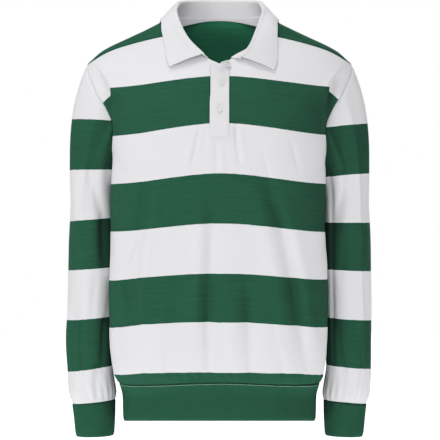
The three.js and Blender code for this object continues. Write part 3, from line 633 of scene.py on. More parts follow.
class ShirtForm:
    """The form that every piece of the shirt is cut to."""

    def __init__(self) -> None:
        """Makes the curves and the neckline."""
        self.body = Tube(BODY_SECTIONS)
        self.band = Tube(BAND_SECTIONS)
        corner_turn = self.turn_at_width(SHOULDER_SEAM_TOP, NECK_SIDE)
        self.corner_y = float(self.body.point(SHOULDER_SEAM_TOP, corner_turn)[1])

    def turn_at_depth(self, v: Array, y: Array) -> Array:
        """The turn at which a section reaches a depth.

        Args:
            v: heights along the cloth.
            y: the depth, negative in front.

        Returns:
            The turns, on the side of positive x.
        """
        side = np.where(y < 0, self.body.front(v), self.body.back(v))
        reach = clamp01(np.abs(y) / side) ** (self.body.square(v) / 2)
        return np.where(y < 0, np.arccos(reach), math.pi - np.arccos(reach))

    def turn_at_width(self, v: Array, x: Array) -> Array:
        """The turn at which a section's front reaches a distance x from the centre line."""
        return np.arcsin(clamp01(x / self.body.half_width(v)) ** (self.body.square(v) / 2))

    def edge_turn(self, v: Array, face: int) -> Array:
        """The turn of a panel's outer edge: side seam, armhole, shoulder seam, then the neck.

        Args:
            v: heights along the cloth.
            face: -1 for the front panel and 1 for the back one.

        Returns:
            The turns, on the side of positive x.
        """
        v = np.asarray(v, float)
        share = mix(-1.0, 1.0, clamp01((v - UNDERARM) / (SHOULDER - UNDERARM)))
        middle = mix(ARM_Y, ARMHOLE_TOP_Y, (share + 1) / 2)
        depth = ARMHOLE_FRONT if face < 0 else ARMHOLE_BACK
        armhole = middle + face * depth * (1 - share**2) ** 0.6
        towards_neck = clamp01((v - SHOULDER) / (SHOULDER_SEAM_TOP - SHOULDER)) ** 0.45
        shoulder = mix(ARMHOLE_TOP_Y, self.corner_y, towards_neck)
        seam = self.turn_at_depth(v, np.where(v < SHOULDER, armhole, shoulder))
        neck = self.turn_at_width(v, mix(NECK_BACK, NECK_SIDE, v / SHOULDER_SEAM_TOP))
        return np.where(v <= SHOULDER_SEAM_TOP, seam, neck)

    def front_opening(self, v: Array) -> Array:
        """Half the width of the opening in the front: the slot, then the neckline."""
        rise = clamp01((v - NECK_FRONT) / (SHOULDER_SEAM_TOP - NECK_FRONT))
        return mix(PLACKET_HALF, NECK_SIDE, np.sin(rise * math.pi / 2) ** 1.3)

    def even_turns(self, v: Array, turn0: Array, turn1: Array, count: int) -> Array:
        """Turns that part a stretch of each section into even lengths, closer at the arm's fold.

        Args:
            v: height of each section.
            turn0: where each section's stretch starts.
            turn1: where it ends.
            count: number of parts.

        Returns:
            One row of turns for each section.
        """
        share = np.linspace(0, 1, 241)
        turns = turn0[:, None] + (turn1 - turn0)[:, None] * share
        points = self.body.point(v[:, None], turns)
        steps = np.linalg.norm(np.diff(points, axis=1), axis=-1)
        past, depth = self.arm_fold(points[:, 1:, 0], points[:, 1:, 2])
        in_front = points[:, 1:, 1] < 0
        steps = steps * (1 + 0.28 * depth * in_front * np.exp(-(((past - 1) / 6) ** 2)))
        lengths = np.concatenate((np.zeros((len(v), 1)), np.cumsum(steps, axis=1)), axis=1)
        wanted = np.linspace(0, 1, count + 1)
        return np.array([np.interp(wanted * ell[-1], ell, t) for ell, t in zip(lengths, turns)])

    def panel_point(self, v: Array, turn: Array, face: int) -> tuple[Array, Array]:
        """A panel's surface, large folds included.

        Args:
            v: heights along the cloth.
            turn: turns round the section.
            face: -1 for the front panel and 1 for the back one.

        Returns:
            The points, and the directions out of the cloth.
        """
        point, normal = self.body.cloth(v, turn, FRONT_FOLDS if face < 0 else BACK_FOLDS)
        x, z = point[..., 0], point[..., 2]
        right, left = (curve(z) for curve in curves(SIDE_PULL))
        pull = np.where(x < 0, right, left) * ease((np.abs(x) - 90) / 80)
        point[..., 0] -= np.sign(x) * pull
        if face < 0:
            past, depth = self.arm_fold(x, z)
            step = ease((past + 1.5) / 5) * np.exp(-np.maximum(past - 3.5, 0) / 17)
            lip = 0.28 * np.exp(-(((past + 4.5) / 6) ** 2))
            point[..., 1] += depth * (step - lip)
        return point, normal

    def arm_fold(self, x: Array, z: Array) -> tuple[Array, Array]:
        """The fold of the front beside each arm.

        Args:
            x: distances from the centre line, with their sign.
            z: real heights.

        Returns:
            How far past the fold's edge each place is, and how deep the cloth drops behind it there.
        """
        (edge,) = curves(ARM_FOLD_EDGE)
        depth = np.where(x < 0, RIGHT_FOLD_DEPTH, LEFT_FOLD_DEPTH)
        depth = depth * ease((-84 - z) / 40) * ease((z + 224) / 34)
        return np.abs(x) - edge(z), depth

    def hoop_height(self, x: Array, z: Array, v: Array, face: int) -> Array:
        """Heights along the cloth, shifted so that the hoops' edges hang as the cloth does.

        Args:
            x: distances from the centre line, with their sign.
            z: real heights.
            v: heights along the cloth.
            face: -1 for the front panel and 1 for the back one.

        Returns:
            The heights that colour the hoops.
        """
        table = np.stack([curve(v) for curve in curves(HOOP_SAG)], -1)
        rows = np.broadcast_to(table, x.shape + (len(SAG_PLACES),))
        share = np.interp(x, SAG_PLACES, np.arange(len(SAG_PLACES)))
        first = np.minimum(share.astype(int), len(SAG_PLACES) - 2)
        before = np.take_along_axis(rows, first[..., None], -1)[..., 0]
        after = np.take_along_axis(rows, first[..., None] + 1, -1)[..., 0]
        sag = mix(before, after, share - first)
        if face < 0:
            past, depth = self.arm_fold(x, z)
            start = np.where(x < 0, RIGHT_FOLD_DROP, LEFT_FOLD_DROP)
            behind = start * ease((past + 1) / 3) + 0.78 * np.maximum(past, 0)
            sag = sag + behind * clamp01(depth / 5) * ease((z + 186) / 24)
        return v + sag

    def neckline(self, count: int) -> tuple[Array, Array, Array]:
        """The neckline from the centre back to a front end, in even steps.

        Args:
            count: number of steps.

        Returns:
            Shares of the length, points, and directions out of the cloth.
        """
        fine = 80
        back_turns = np.linspace(math.pi, float(self.edge_turn(0.0, 1)), fine)
        side_v = np.linspace(0, SHOULDER_SEAM_TOP, fine)[1:]
        front_v = np.linspace(SHOULDER_SEAM_TOP, SHOULDER, fine)[1:]
        opening = self.turn_at_width(front_v, self.front_opening(front_v) + GAP)
        parts = [
            self.panel_point(np.zeros(fine), back_turns, 1),
            self.panel_point(side_v, self.edge_turn(side_v, 1), 1),
            self.panel_point(front_v, opening, -1),
        ]
        point = np.concatenate([p for p, _ in parts])
        normal = np.concatenate([n for _, n in parts])
        lengths = line_lengths(point)
        share = np.linspace(0, 1, count + 1)
        at = share * lengths[-1]
        return share, read_line(point, lengths, at), unit(read_line(normal, lengths, at))


def link(name: str, data: bpy.types.ID) -> bpy.types.Object:
    """Puts a mesh, a light or a camera into the scene.

    Args:
        name: the object's name.
        data: what it shows.

    Returns:
        The object.
    """
    made = bpy.data.objects.new(name, data)
    bpy.context.scene.collection.objects.link(made)
    return made


def finished_mesh(name: str, bm: bmesh.types.BMesh) -> bpy.types.Mesh:
    """Turns a finished bmesh into a mesh.

    Args:
        name: the mesh's name.
        bm: the bmesh, which is freed.

    Returns:
        The mesh.
    """
    mesh = bpy.data.meshes.new(name)
    bm.to_mesh(mesh)
    bm.free()
    return mesh


def shade_smooth(mesh: bpy.types.Mesh) -> None:
    """Shades all of a mesh's faces smooth."""
    mesh.polygons.foreach_set("use_smooth", np.ones(len(mesh.polygons), bool))


class Rim(Enum):
    """How a sheet gets its wall from the surface it is given as."""

    INWARD = -1.0
    MIDDLE = 0.0
    OUTWARD = 1.0


@dataclass
class Cloth:
    """A sheet as rows of points, seen from outside with columns to the right and rows upwards."""

    name: str
    points: Array
    across: Array
    height: Array
    along: Array
    closed: bool = False
    keep: Optional[Array] = None

    def build(
        self,
        wall: float = 0.0,
        rim: Rim = Rim.INWARD,
        soft_edge: float = 0.0,
        two_faced: bool = False,
    ) -> bpy.types.Object:
        """Makes the mesh, its UV maps and its wall.

        Args:
            wall: thickness in millimetres, or 0 for a surface that is closed already.
            rim: the side on which the wall is added.
            soft_edge: radius of the rounded edges, in millimetres.
            two_faced: whether the cloth's wrong side has a finish of its own.

        Returns:
            The finished object.
        """
        rows, columns = self.points.shape[:2]
        bm = bmesh.new()
        bmesh.ops.create_grid(bm, x_segments=columns - 1, y_segments=rows - 1, size=1)
        mesh = finished_mesh(self.name, bm)
        mesh.vertices.foreach_set("co", (self.points * MM).astype(np.float32).ravel())
        corner = np.zeros(len(mesh.loops), np.int32)
        mesh.loops.foreach_get("vertex_index", corner)
        for layer, second in (("cloth", self.height), ("yarn", self.along)):
            uv = np.stack(np.broadcast_arrays(self.across, second), -1).reshape(-1, 2) * MM
            mesh.uv_layers.new(name=layer).data.foreach_set("uv", uv[corner].astype(np.float32).ravel())
        if self.keep is not None or self.closed:
            self.trim(mesh)
        shade_smooth(mesh)
        piece = link(self.name, mesh)
        if wall:
            solid = piece.modifiers.new("wall", "SOLIDIFY")
            solid.thickness = wall * MM
            solid.offset = rim.value
            solid.use_even_offset = True
            solid.thickness_clamp = 0.0
            solid.material_offset = 1 if two_faced else 0
        if soft_edge:
            bevel = piece.modifiers.new("soft_edge", "BEVEL")
            bevel.width = soft_edge * MM
            bevel.segments = 2
            bevel.limit_method = "ANGLE"
            bevel.angle_limit = math.radians(50)
        return piece

    def trim(self, mesh: bpy.types.Mesh) -> None:
        """Cuts out the cells that hold no cloth and joins the ends of a closed surface.

        Args:
            mesh: the grid's mesh.
        """
        bm = bmesh.new()
        bm.from_mesh(mesh)
        bm.faces.ensure_lookup_table()
        if self.keep is not None:
            empty = [bm.faces[i] for i in np.flatnonzero(~self.keep.ravel())]
            bmesh.ops.delete(bm, geom=empty, context="FACES")
        if self.closed:
            bmesh.ops.remove_doubles(bm, verts=bm.verts, dist=1e-6)
        bm.to_mesh(mesh)
        bm.free()


def face_normals(points: Array, closed: bool) -> Array:
    """The outward directions of a grid of points.

    Args:
        points: rows and columns of points.
        closed: whether the last column repeats the first.

    Returns:
        Unit directions.
    """
    up = np.gradient(points, axis=0)
    across = np.gradient(points, axis=1)
    if closed:
        across[:, 0] = across[:, -1] = points[:, 1] - points[:, -2]
    return unit(np.cross(across, up))


def run_lengths(points: Array, axis: int) -> Array:
    """Lengths along the lines of a grid of points, from where each line starts.

    Args:
        points: rows and columns of points.
        axis: 1 to go along the rows and 0 to go up the columns.

    Returns:
        A length for each point.
    """
    steps = np.linalg.norm(np.diff(points, axis=axis), axis=-1)
    start = np.zeros((1, points.shape[1]) if axis == 0 else (points.shape[0], 1))
    return np.concatenate((start, np.cumsum(steps, axis=axis)), axis=axis)


def distance_to(points: Array, line: Array) -> Array:
    """Distances from a grid of points to a line of points.

    Args:
        points: rows and columns of points.
        line: the line's points.

    Returns:
        A distance for each point of the grid.
    """
    tree = KDTree(len(line))
    for i, p in enumerate(line):
        tree.insert(p, i)
    tree.balance()
    return np.array([tree.find(p)[2] for p in points.reshape(-1, 3)]).reshape(points.shape[:-1])


def seam_relief(distance: Array, depth: float) -> Array:
    """The groove along a seam, with the slight swell of the folded edges beside it."""
    return 0.3 * np.exp(-(((distance - 5.5) / 2.6) ** 2)) - depth * np.exp(-((distance / 2.1) ** 2))


class Nodes:
    """Short calls for building a node tree."""

    def __init__(self, tree: bpy.types.NodeTree) -> None:
        """Takes over an empty tree."""
        self.tree = tree
        tree.nodes.clear()

    def add(self, kind: str, inputs: Optional[dict] = None, **settings: object) -> bpy.types.Node:
        """Adds a node.

        Args:
            kind: the node's type without its ShaderNode prefix.
            inputs: values or sockets for its inputs.
            settings: its other properties.

        Returns:
            The node.
        """
        node = self.tree.nodes.new(kind if kind.startswith("NodeGroup") else "ShaderNode" + kind)
        for key, value in settings.items():
            setattr(node, key, value)
        for key, value in (inputs or {}).items():
            if isinstance(value, bpy.types.NodeSocket):
                self.tree.links.new(value, node.inputs[key])
            else:
                node.inputs[key].default_value = value
        return node

    def maths(self, operation: str, *values: object) -> bpy.types.NodeSocket:
        """The result of a Math node on numbers or sockets."""
        return self.add("Math", dict(enumerate(values)), operation=operation).outputs[0]

    def group(self, tree: bpy.types.NodeTree, inputs: dict) -> bpy.types.Node:
        """Places a node group."""
        return self.add("Group", inputs, node_tree=tree)

    def blend(self, factor: object, a: object, b: object, mode: str = "MIX") -> bpy.types.NodeSocket:
        """The colour that a Mix node gives."""
        inputs = {"Factor": factor, 6: a, 7: b}
        return self.add("Mix", inputs, data_type="RGBA", blend_type=mode).outputs[2]


def new_group(
    name: str,
    inputs: Sequence[tuple],
    outputs: Sequence[tuple],
) -> tuple[Nodes, dict, bpy.types.Node]:
    """Starts a shader node group.

    Args:
        name: the group's name.
        inputs: name, socket type and value of each input.
        outputs: name and socket type of each output.

    Returns:
        The tree's nodes, its input sockets by name, and the node that takes its outputs.
    """
    tree = bpy.data.node_groups.new(name, "ShaderNodeTree")
    for label, kind, value in inputs:
        socket = tree.interface.new_socket(label, in_out="INPUT", socket_type=kind)
        if value is not None:
            socket.default_value = value
    for label, kind in outputs:
        tree.interface.new_socket(label, in_out="OUTPUT", socket_type=kind)
    nodes = Nodes(tree)
    source = nodes.add("NodeGroupInput")
    sink = nodes.add("NodeGroupOutput")
    return nodes, {s.name: s for s in source.outputs}, sink


# A turn-back so wide, in metres, that the twill's slant never turns.
NO_TURN = 10.0


class Weaves:
    """The surface patterns that several finishes share."""

    def __init__(self) -> None:
        """Builds each group once."""
        self.knit = self.make_knit()
        self.twill = self.make_twill()
        self.mottle = self.make_mottle()
        self.streaks = self.make_streaks()

    @staticmethod
    def make_knit() -> bpy.types.NodeTree:
        """Columns of slanted stitches, as on the right side of jersey.

        Returns:
            The group.
        """
        floats = [("Wale", "NodeSocketFloat", 0.0013), ("Course", "NodeSocketFloat", 0.0011)]
        nodes, given, sink = new_group(
            "knit_stitches",
            [("Vector", "NodeSocketVector", None), *floats],
            [("Height", "NodeSocketFloat"), ("Shade", "NodeSocketFloat")],
        )
        parts = nodes.add("SeparateXYZ", {0: given["Vector"]}).outputs
        wale = nodes.maths("DIVIDE", parts[0], given["Wale"])
        leg = nodes.maths("MULTIPLY", nodes.maths("PINGPONG", wale, 0.5), 2.0)
        course = nodes.maths("DIVIDE", parts[1], given["Course"])
        slanted = nodes.maths("MULTIPLY_ADD", leg, 0.45, course)
        wave = nodes.maths("SINE", nodes.maths("MULTIPLY", slanted, math.tau))
        wave = nodes.maths("MULTIPLY_ADD", wave, 0.5, 0.5)
        rope = nodes.maths("SUBTRACT", 1.0, nodes.maths("MULTIPLY", leg, leg))
        height = nodes.maths("MULTIPLY_ADD", wave, 0.4, nodes.maths("MULTIPLY", rope, 0.6))
        nodes.tree.links.new(height, sink.inputs["Height"])
        nodes.tree.links.new(wave, sink.inputs["Shade"])
        return nodes.tree

    @staticmethod
    def make_twill() -> bpy.types.NodeTree:
        """Fine diagonal ridges, or a herringbone where the slant turns back.

        Returns:
            The group.
        """
        nodes, given, sink = new_group(
            "twill_ridges",
            [
                ("Vector", "NodeSocketVector", None),
                ("Pitch", "NodeSocketFloat", 0.0009),
                ("Turn Back", "NodeSocketFloat", NO_TURN),
            ],
            [("Height", "NodeSocketFloat")],
        )
        parts = nodes.add("SeparateXYZ", {0: given["Vector"]}).outputs
        back = nodes.maths("PINGPONG", parts[0], given["Turn Back"])
        slanted = nodes.maths("DIVIDE", nodes.maths("ADD", back, parts[1]), given["Pitch"])
        ridge = nodes.maths("SINE", nodes.maths("MULTIPLY", slanted, math.tau))
        height = nodes.maths("MULTIPLY_ADD", ridge, 0.5, 0.5)
        nodes.tree.links.new(height, sink.inputs["Height"])
        return nodes.tree

    @staticmethod
    def make_streaks() -> bpy.types.NodeTree:
        """Faint darker lines along the courses, where the yarn's thickness wanders.

        Returns:
            The group.
        """
        nodes, given, sink = new_group(
            "course_streaks",
            [("Vector", "NodeSocketVector", None), ("Amount", "NodeSocketFloat", 0.3)],
            [("Shade", "NodeSocketColor")],
        )
        drawn = nodes.add("Mapping", {"Vector": given["Vector"], "Scale": (14.0, 420.0, 1.0)}).outputs[0]
        lines = nodes.add("TexNoise", {"Vector": drawn, "Scale": 1.0, "Detail": 2.0}).outputs["Fac"]
        faint = nodes.maths("MULTIPLY", nodes.maths("SUBTRACT", lines, 0.42), given["Amount"])
        level = nodes.maths("SUBTRACT", 1.0, nodes.maths("MAXIMUM", faint, 0.0))
        shade = nodes.add("CombineColor", {0: level, 1: level, 2: level}).outputs[0]
        nodes.tree.links.new(shade, sink.inputs["Shade"])
        return nodes.tree

    @staticmethod
    def make_mottle() -> bpy.types.NodeTree:
        """Uneven yarn and slow changes of shade, as a grey to multiply with.

        Returns:
            The group.
        """
        nodes, given, sink = new_group(
            "yarn_mottle",
            [("Yarn", "NodeSocketFloat", 0.06), ("Cloud", "NodeSocketFloat", 0.04)],
            [("Shade", "NodeSocketColor"), ("Fuzz", "NodeSocketFloat")],
        )
        place = nodes.add("TexCoord").outputs["Object"]
        fine = nodes.add("TexNoise", {"Vector": place, "Scale": 750.0, "Detail": 2.0}).outputs["Fac"]
        slow = nodes.add("TexNoise", {"Vector": place, "Scale": 9.0, "Detail": 2.0}).outputs["Fac"]
        first = nodes.maths("MULTIPLY", nodes.maths("SUBTRACT", fine, 0.5), given["Yarn"])
        second = nodes.maths("MULTIPLY", nodes.maths("SUBTRACT", slow, 0.5), given["Cloud"])
        level = nodes.maths("SUBTRACT", 1.0, nodes.maths("ABSOLUTE", nodes.maths("ADD", first, second)))
        shade = nodes.add("CombineColor", {0: level, 1: level, 2: level}).outputs[0]
        nodes.tree.links.new(shade, sink.inputs["Shade"])
        nodes.tree.links.new(fine, sink.inputs["Fuzz"])
        return nodes.tree


@dataclass(frozen=True)
class ClothFinish:
    """What all cloth here shares: a matt shader with a little sheen."""

    roughness: float = 0.88
    sheen: float = 0.02
    specular: float = 0.08
    yarn: float = 0.1
    cloud: float = 0.05

    def material(
        self,
        name: str,
        weaves: Weaves,
        paint: Callable[[Nodes], tuple[object, bpy.types.NodeSocket]],
        relief: float,
    ) -> bpy.types.Material:
        """Makes a material.

        Args:
            name: the material's name.
            weaves: the shared patterns.
            paint: adds the finish's own nodes and gives its colour and its height.
            relief: how deep the weave is, in metres.

        Returns:
            The material.
        """
        made = bpy.data.materials.new(name)
        made.use_nodes = True
        nodes = Nodes(made.node_tree)
        colour, height = paint(nodes)
        mottle = nodes.group(weaves.mottle, {"Yarn": self.yarn, "Cloud": self.cloud}).outputs
        fuzzy = nodes.maths("MULTIPLY_ADD", mottle["Fuzz"], 0.35, height)
        bump = nodes.add("Bump", {"Strength": 0.6, "Distance": relief, "Height": fuzzy}).outputs[0]
        shader = nodes.add(
            "BsdfPrincipled",
            {
                "Base Color": nodes.blend(1.0, colour, mottle["Shade"], "MULTIPLY"),
                "Roughness": self.roughness,
                "Sheen Weight": self.sheen,
                "Sheen Roughness": 0.6,
                "Specular IOR Level": self.specular,
                "Normal": bump,
            },
        ).outputs[0]
        nodes.add("OutputMaterial", {"Surface": shader})
        return made


WHITE = (0.71, 0.703, 0.723, 1.0)
GREEN = (0.037, 0.095, 0.069, 1.0)
# The inside of the back is the same green cloth painted about three times lighter: painted light, standing
# in for the light that falls into the neck opening.
GREEN_INSIDE_PAINTED_LIGHT = (0.095, 0.330, 0.230, 1.0)
PALE_THREAD = (0.62, 0.68, 0.64, 1.0)
CREAM = (0.74, 0.73, 0.71, 1.0)


@dataclass(frozen=True)
class HoopedJersey:
    """Cotton jersey knitted in hoops, whose edges are heights along the cloth."""

    edges: tuple
    top: tuple = WHITE
    other: tuple = GREEN
    streak: float = 0.38
    ramp_range: tuple = (-0.75, 0.05)
    relief: float = 0.00025
    cloth: ClothFinish = field(default_factory=ClothFinish)

    def material(self, name: str, weaves: Weaves) -> bpy.types.Material:
        """Makes the material.

        Args:
            name: the material's name.
            weaves: the shared patterns.

        Returns:
            The material.
        """
        low, high = self.ramp_range

        def paint(nodes: Nodes) -> tuple[object, bpy.types.NodeSocket]:
            """Colours the hoops by the cloth's own height.

            Args:
                nodes: the material's nodes.

            Returns:
                The colour, and the height of the stitches.
            """
            yarn = nodes.add("UVMap", uv_map="yarn").outputs[0]
            knit = nodes.group(weaves.knit, {"Vector": yarn}).outputs
            cloth = nodes.add("UVMap", uv_map="cloth").outputs[0]
            height = nodes.add("SeparateXYZ", {0: cloth}).outputs[1]
            uneven = nodes.maths("MULTIPLY_ADD", knit["Shade"], 0.0005, height)
            ranged = nodes.add("MapRange", {"Value": uneven, "From Min": low, "From Max": high}).outputs[0]
            ramp = nodes.add("ValToRGB", {"Fac": ranged})
            stops = ramp.color_ramp
            stops.interpolation = "CONSTANT"
            colours = [self.top, self.other]
            ordered = sorted((edge * MM - low) / (high - low) for edge in self.edges)
            stops.elements[0].position = 0.0
            stops.elements[0].color = colours[len(ordered) % 2]
            stops.elements[1].position = ordered[0]
            stops.elements[1].color = colours[(len(ordered) - 1) % 2]
            for i, position in enumerate(ordered[1:], start=2):
                stops.elements.new(position).color = colours[(len(ordered) - i) % 2]
            paleness = nodes.add("SeparateColor", {0: ramp.outputs[0]}).outputs[0]
            amount = nodes.maths("MULTIPLY_ADD", paleness, -1.25 * self.streak, self.streak)
            streaks = nodes.group(weaves.streaks, {"Vector": cloth, "Amount": amount}).outputs[0]
            return nodes.blend(1.0, ramp.outputs[0], streaks, "MULTIPLY"), knit["Height"]

        return self.cloth.material(name, weaves, paint, self.relief)


class Pattern(Enum):
    """The weaves of the plain pieces."""

    RIB = "rib"
    TWILL = "twill"
    HERRINGBONE = "herringbone"
    PLAIN = "plain"


@dataclass(frozen=True)
class PlainCloth:
    """Cloth or thread of one colour."""

    colour: tuple
    pattern: Pattern
    rib_course: float = 0.0009
    twill_pitch: float = 0.0010
    bone_width: float = 0.004
    relief: float = 0.0002
    cloth: ClothFinish = field(default_factory=ClothFinish)

    def material(self, name: str, weaves: Weaves) -> bpy.types.Material:
        """Makes the material.

        Args:
            name: the material's name.
            weaves: the shared patterns.

        Returns:
            The material.
        """

        def paint(nodes: Nodes) -> tuple[object, bpy.types.NodeSocket]:
            """Adds the weave.

            Args:
                nodes: the material's nodes.

            Returns:
                The colour, and the height of the weave.
            """
            if self.pattern is Pattern.PLAIN:
                place = nodes.add("TexCoord").outputs["Object"]
                return self.colour, nodes.add("TexNoise", {"Vector": place, "Scale": 900.0}).outputs["Fac"]
            yarn = nodes.add("UVMap", uv_map="yarn").outputs[0]
            if self.pattern is Pattern.RIB:
                inputs = {"Vector": yarn, "Course": self.rib_course}
                return self.colour, nodes.group(weaves.knit, inputs).outputs["Height"]
            turn_back = self.bone_width if self.pattern is Pattern.HERRINGBONE else NO_TURN
            inputs = {"Vector": yarn, "Pitch": self.twill_pitch, "Turn Back": turn_back}
            return self.colour, nodes.group(weaves.twill, inputs).outputs["Height"]

        return self.cloth.material(name, weaves, paint, self.relief)


@dataclass(frozen=True)
class ButtonFinish:
    """Cream moulded button, smooth with a faint cloud in it."""

    colour: tuple = CREAM
    roughness: float = 0.28
    shade: float = 0.86

    def material(self, name: str) -> bpy.types.Material:
        """Makes the material.

        Args:
            name: the material's name.

        Returns:
            The material.
        """
        made = bpy.data.materials.new(name)
        made.use_nodes = True
        nodes = Nodes(made.node_tree)
        place = nodes.add("TexCoord").outputs["Object"]
        noise = {"Vector": place, "Scale": 260.0, "Detail": 3.0, "Distortion": 1.5}
        cloud = nodes.add("TexNoise", noise).outputs["Fac"]
        darker = tuple(self.shade * c for c in self.colour[:3]) + (1.0,)
        least, most = self.roughness - 0.06, self.roughness + 0.1
        shine = nodes.add("MapRange", {"Value": cloud, "To Min": least, "To Max": most})
        shader = nodes.add(
            "BsdfPrincipled",
            {
                "Base Color": nodes.blend(cloud, self.colour, darker),
                "Roughness": shine.outputs[0],
                "Coat Weight": 0.25,
                "Coat Roughness": 0.2,
            },
        ).outputs[0]
        nodes.add("OutputMaterial", {"Surface": shader})
        return made


@dataclass
class Finishes:
    """All the materials of the shirt."""

    weaves: Weaves = field(default_factory=Weaves)

    def __post_init__(self) -> None:
        """Makes each material once."""
        self.front = HoopedJersey(BODY_HOOPS).material("jersey_front", self.weaves)
        self.back = HoopedJersey(BODY_HOOPS, GREEN, WHITE).material("jersey_back", self.weaves)
        # The back's wrong side takes the lighter green, which is painted light on the inside of the back.
        reverse = HoopedJersey(BODY_HOOPS, GREEN_INSIDE_PAINTED_LIGHT, WHITE)
        self.back_inside_painted_light = reverse.material("jersey_back_inside_painted_light", self.weaves)
        self.sleeve = HoopedJersey(SLEEVE_HOOPS).material("jersey_sleeve", self.weaves)
        self.rib = PlainCloth(GREEN, Pattern.RIB).material("rib_green", self.weaves)
        self.twill = PlainCloth(WHITE, Pattern.TWILL).material("twill_white", self.weaves)
        self.tape = PlainCloth(WHITE, Pattern.HERRINGBONE).material("tape_white", self.weaves)
        self.white_thread = PlainCloth(WHITE, Pattern.PLAIN).material("thread_white", self.weaves)
        self.pale_thread = PlainCloth(PALE_THREAD, Pattern.PLAIN).material("thread_pale", self.weaves)
        self.green_thread = PlainCloth(GREEN, Pattern.PLAIN).material("thread_green", self.weaves)
        self.button = ButtonFinish().material("button_cream")


@dataclass(frozen=True)
class Cut:
    """The flat size of a piece of cloth, in metres, its flat area, and how it is held now."""

    width: float
    length: float
    held: str
    rests_on: tuple[str, ...]
    area: Optional[float] = None

    def declare(self, piece: bpy.types.Object) -> None:
        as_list(self.rests_on)


FRONT_CUT = Cut(0.594, 0.624, "hung", ("cloth_back", "twill_collar"), 0.311)
BACK_CUT = Cut(0.580, 0.721, "hung", ("twill_collar",), 0.318)
SLEEVE_CUT = Cut(0.347, 0.597, "hung", ("cloth_front", "cloth_back"), 0.167)
HEM_CUT = Cut(1.02, 0.066, "hung", ("cloth_front", "cloth_back"))
CUFF_WIDTH = 0.255
CUFF_LENGTH = 0.061
COLLAR_CUT = Cut(0.621, 0.106, "folded", ("cloth_front", "cloth_back"), 0.0414)
TAPE_CUT = Cut(0.213, 0.023, "hung", ("cloth_back",), 0.0026)
LOWER_STRIP_CUT = Cut(0.052, 0.147, "hung", ("cloth_front",), 0.0039)
UPPER_STRIP_CUT = Cut(0.033, 0.137, "hung", ("strip_lower",), 0.0039)


def fit(
    piece: bpy.types.Object,
    material: bpy.types.Material,
    stands_for: Sequence[str] = (),
    cut: Optional[Cut] = None,
    reverse: Optional[bpy.types.Material] = None,
) -> None:
    """Gives a piece its material and its place in the frame, and reports it.

    Args:
        piece: the object.
        material: its finish.
        stands_for: the part's nodes that it hides.
        cut: its cut, if it is a sheet of cloth.
        reverse: the finish of its wrong side, if that differs.
    """
    piece.data.materials.append(material)
    if reverse:
        piece.data.materials.append(reverse)
    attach(piece, "root")
    if stands_for:
        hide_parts(*stands_for)
    if cut:
        cut.declare(piece)
    LOG.info("%s: %d faces", piece.name, len(piece.data.polygons))


def placed(columns: Sequence[Array]) -> Matrix:
    """A matrix in metres from three axes and a place in millimetres."""
    return Matrix([[column[i] * MM for column in columns] for i in range(3)] + [[0, 0, 0, 1]])


@dataclass(frozen=True)
class Stitch:
    """One kind of sewing: the step, and each stitch's length, width and depth, in millimetres."""

    pitch: float = 3.0
    length: float = 2.5
    width: float = 0.55
    depth: float = 0.4


def sew(
    name: str,
    lines: Sequence[tuple[Array, Array]],
    stitch: Stitch,
    material: bpy.types.Material,
) -> None:
    """Lays a row of stitches along each line.

    Args:
        name: the piece's name.
        lines: points along each row and the directions out of the cloth there.
        stitch: the kind of stitch.
        material: the thread's finish.
    """
    bm = bmesh.new()
    reach = 0.4
    for points, facing in lines:
        lengths = line_lengths(points)
        count = max(1, int(lengths[-1] / stitch.pitch))
        at = (np.arange(count) + 0.5) * lengths[-1] / count
        before, middle, after = (read_line(points, lengths, s) for s in (at - reach, at, at + reach))
        along = unit(after - before)
        out = unit(read_line(facing, lengths, at))
        beside = unit(np.cross(along, out))
        out = np.cross(beside, along)
        for p, a, b, o in zip(middle, along, beside, out):
            axes = (b * stitch.width / 2, o * stitch.depth / 2, a * stitch.length / 2, p)
            turned = placed(axes)
            bmesh.ops.create_uvsphere(bm, u_segments=6, v_segments=4, radius=1, matrix=turned)
    bmesh.ops.recalc_face_normals(bm, faces=bm.faces)
    mesh = finished_mesh(name, bm)
    shade_smooth(mesh)
    fit(link(name, mesh), material)


def stepped(*stretches: tuple[float, float, int]) -> Array:
    """Values that run through stretches of start, end and number of steps."""
    parts = [np.linspace(a, b, n + 1)[:-1] for a, b, n in stretches]
    return np.concatenate([*parts, [stretches[-1][1]]])


# Depth of the groove at a seam, and the step at which a seam's line is followed, in millimetres.
SEAM_DEPTH = 1.2
SEAM_STEP = 1.5


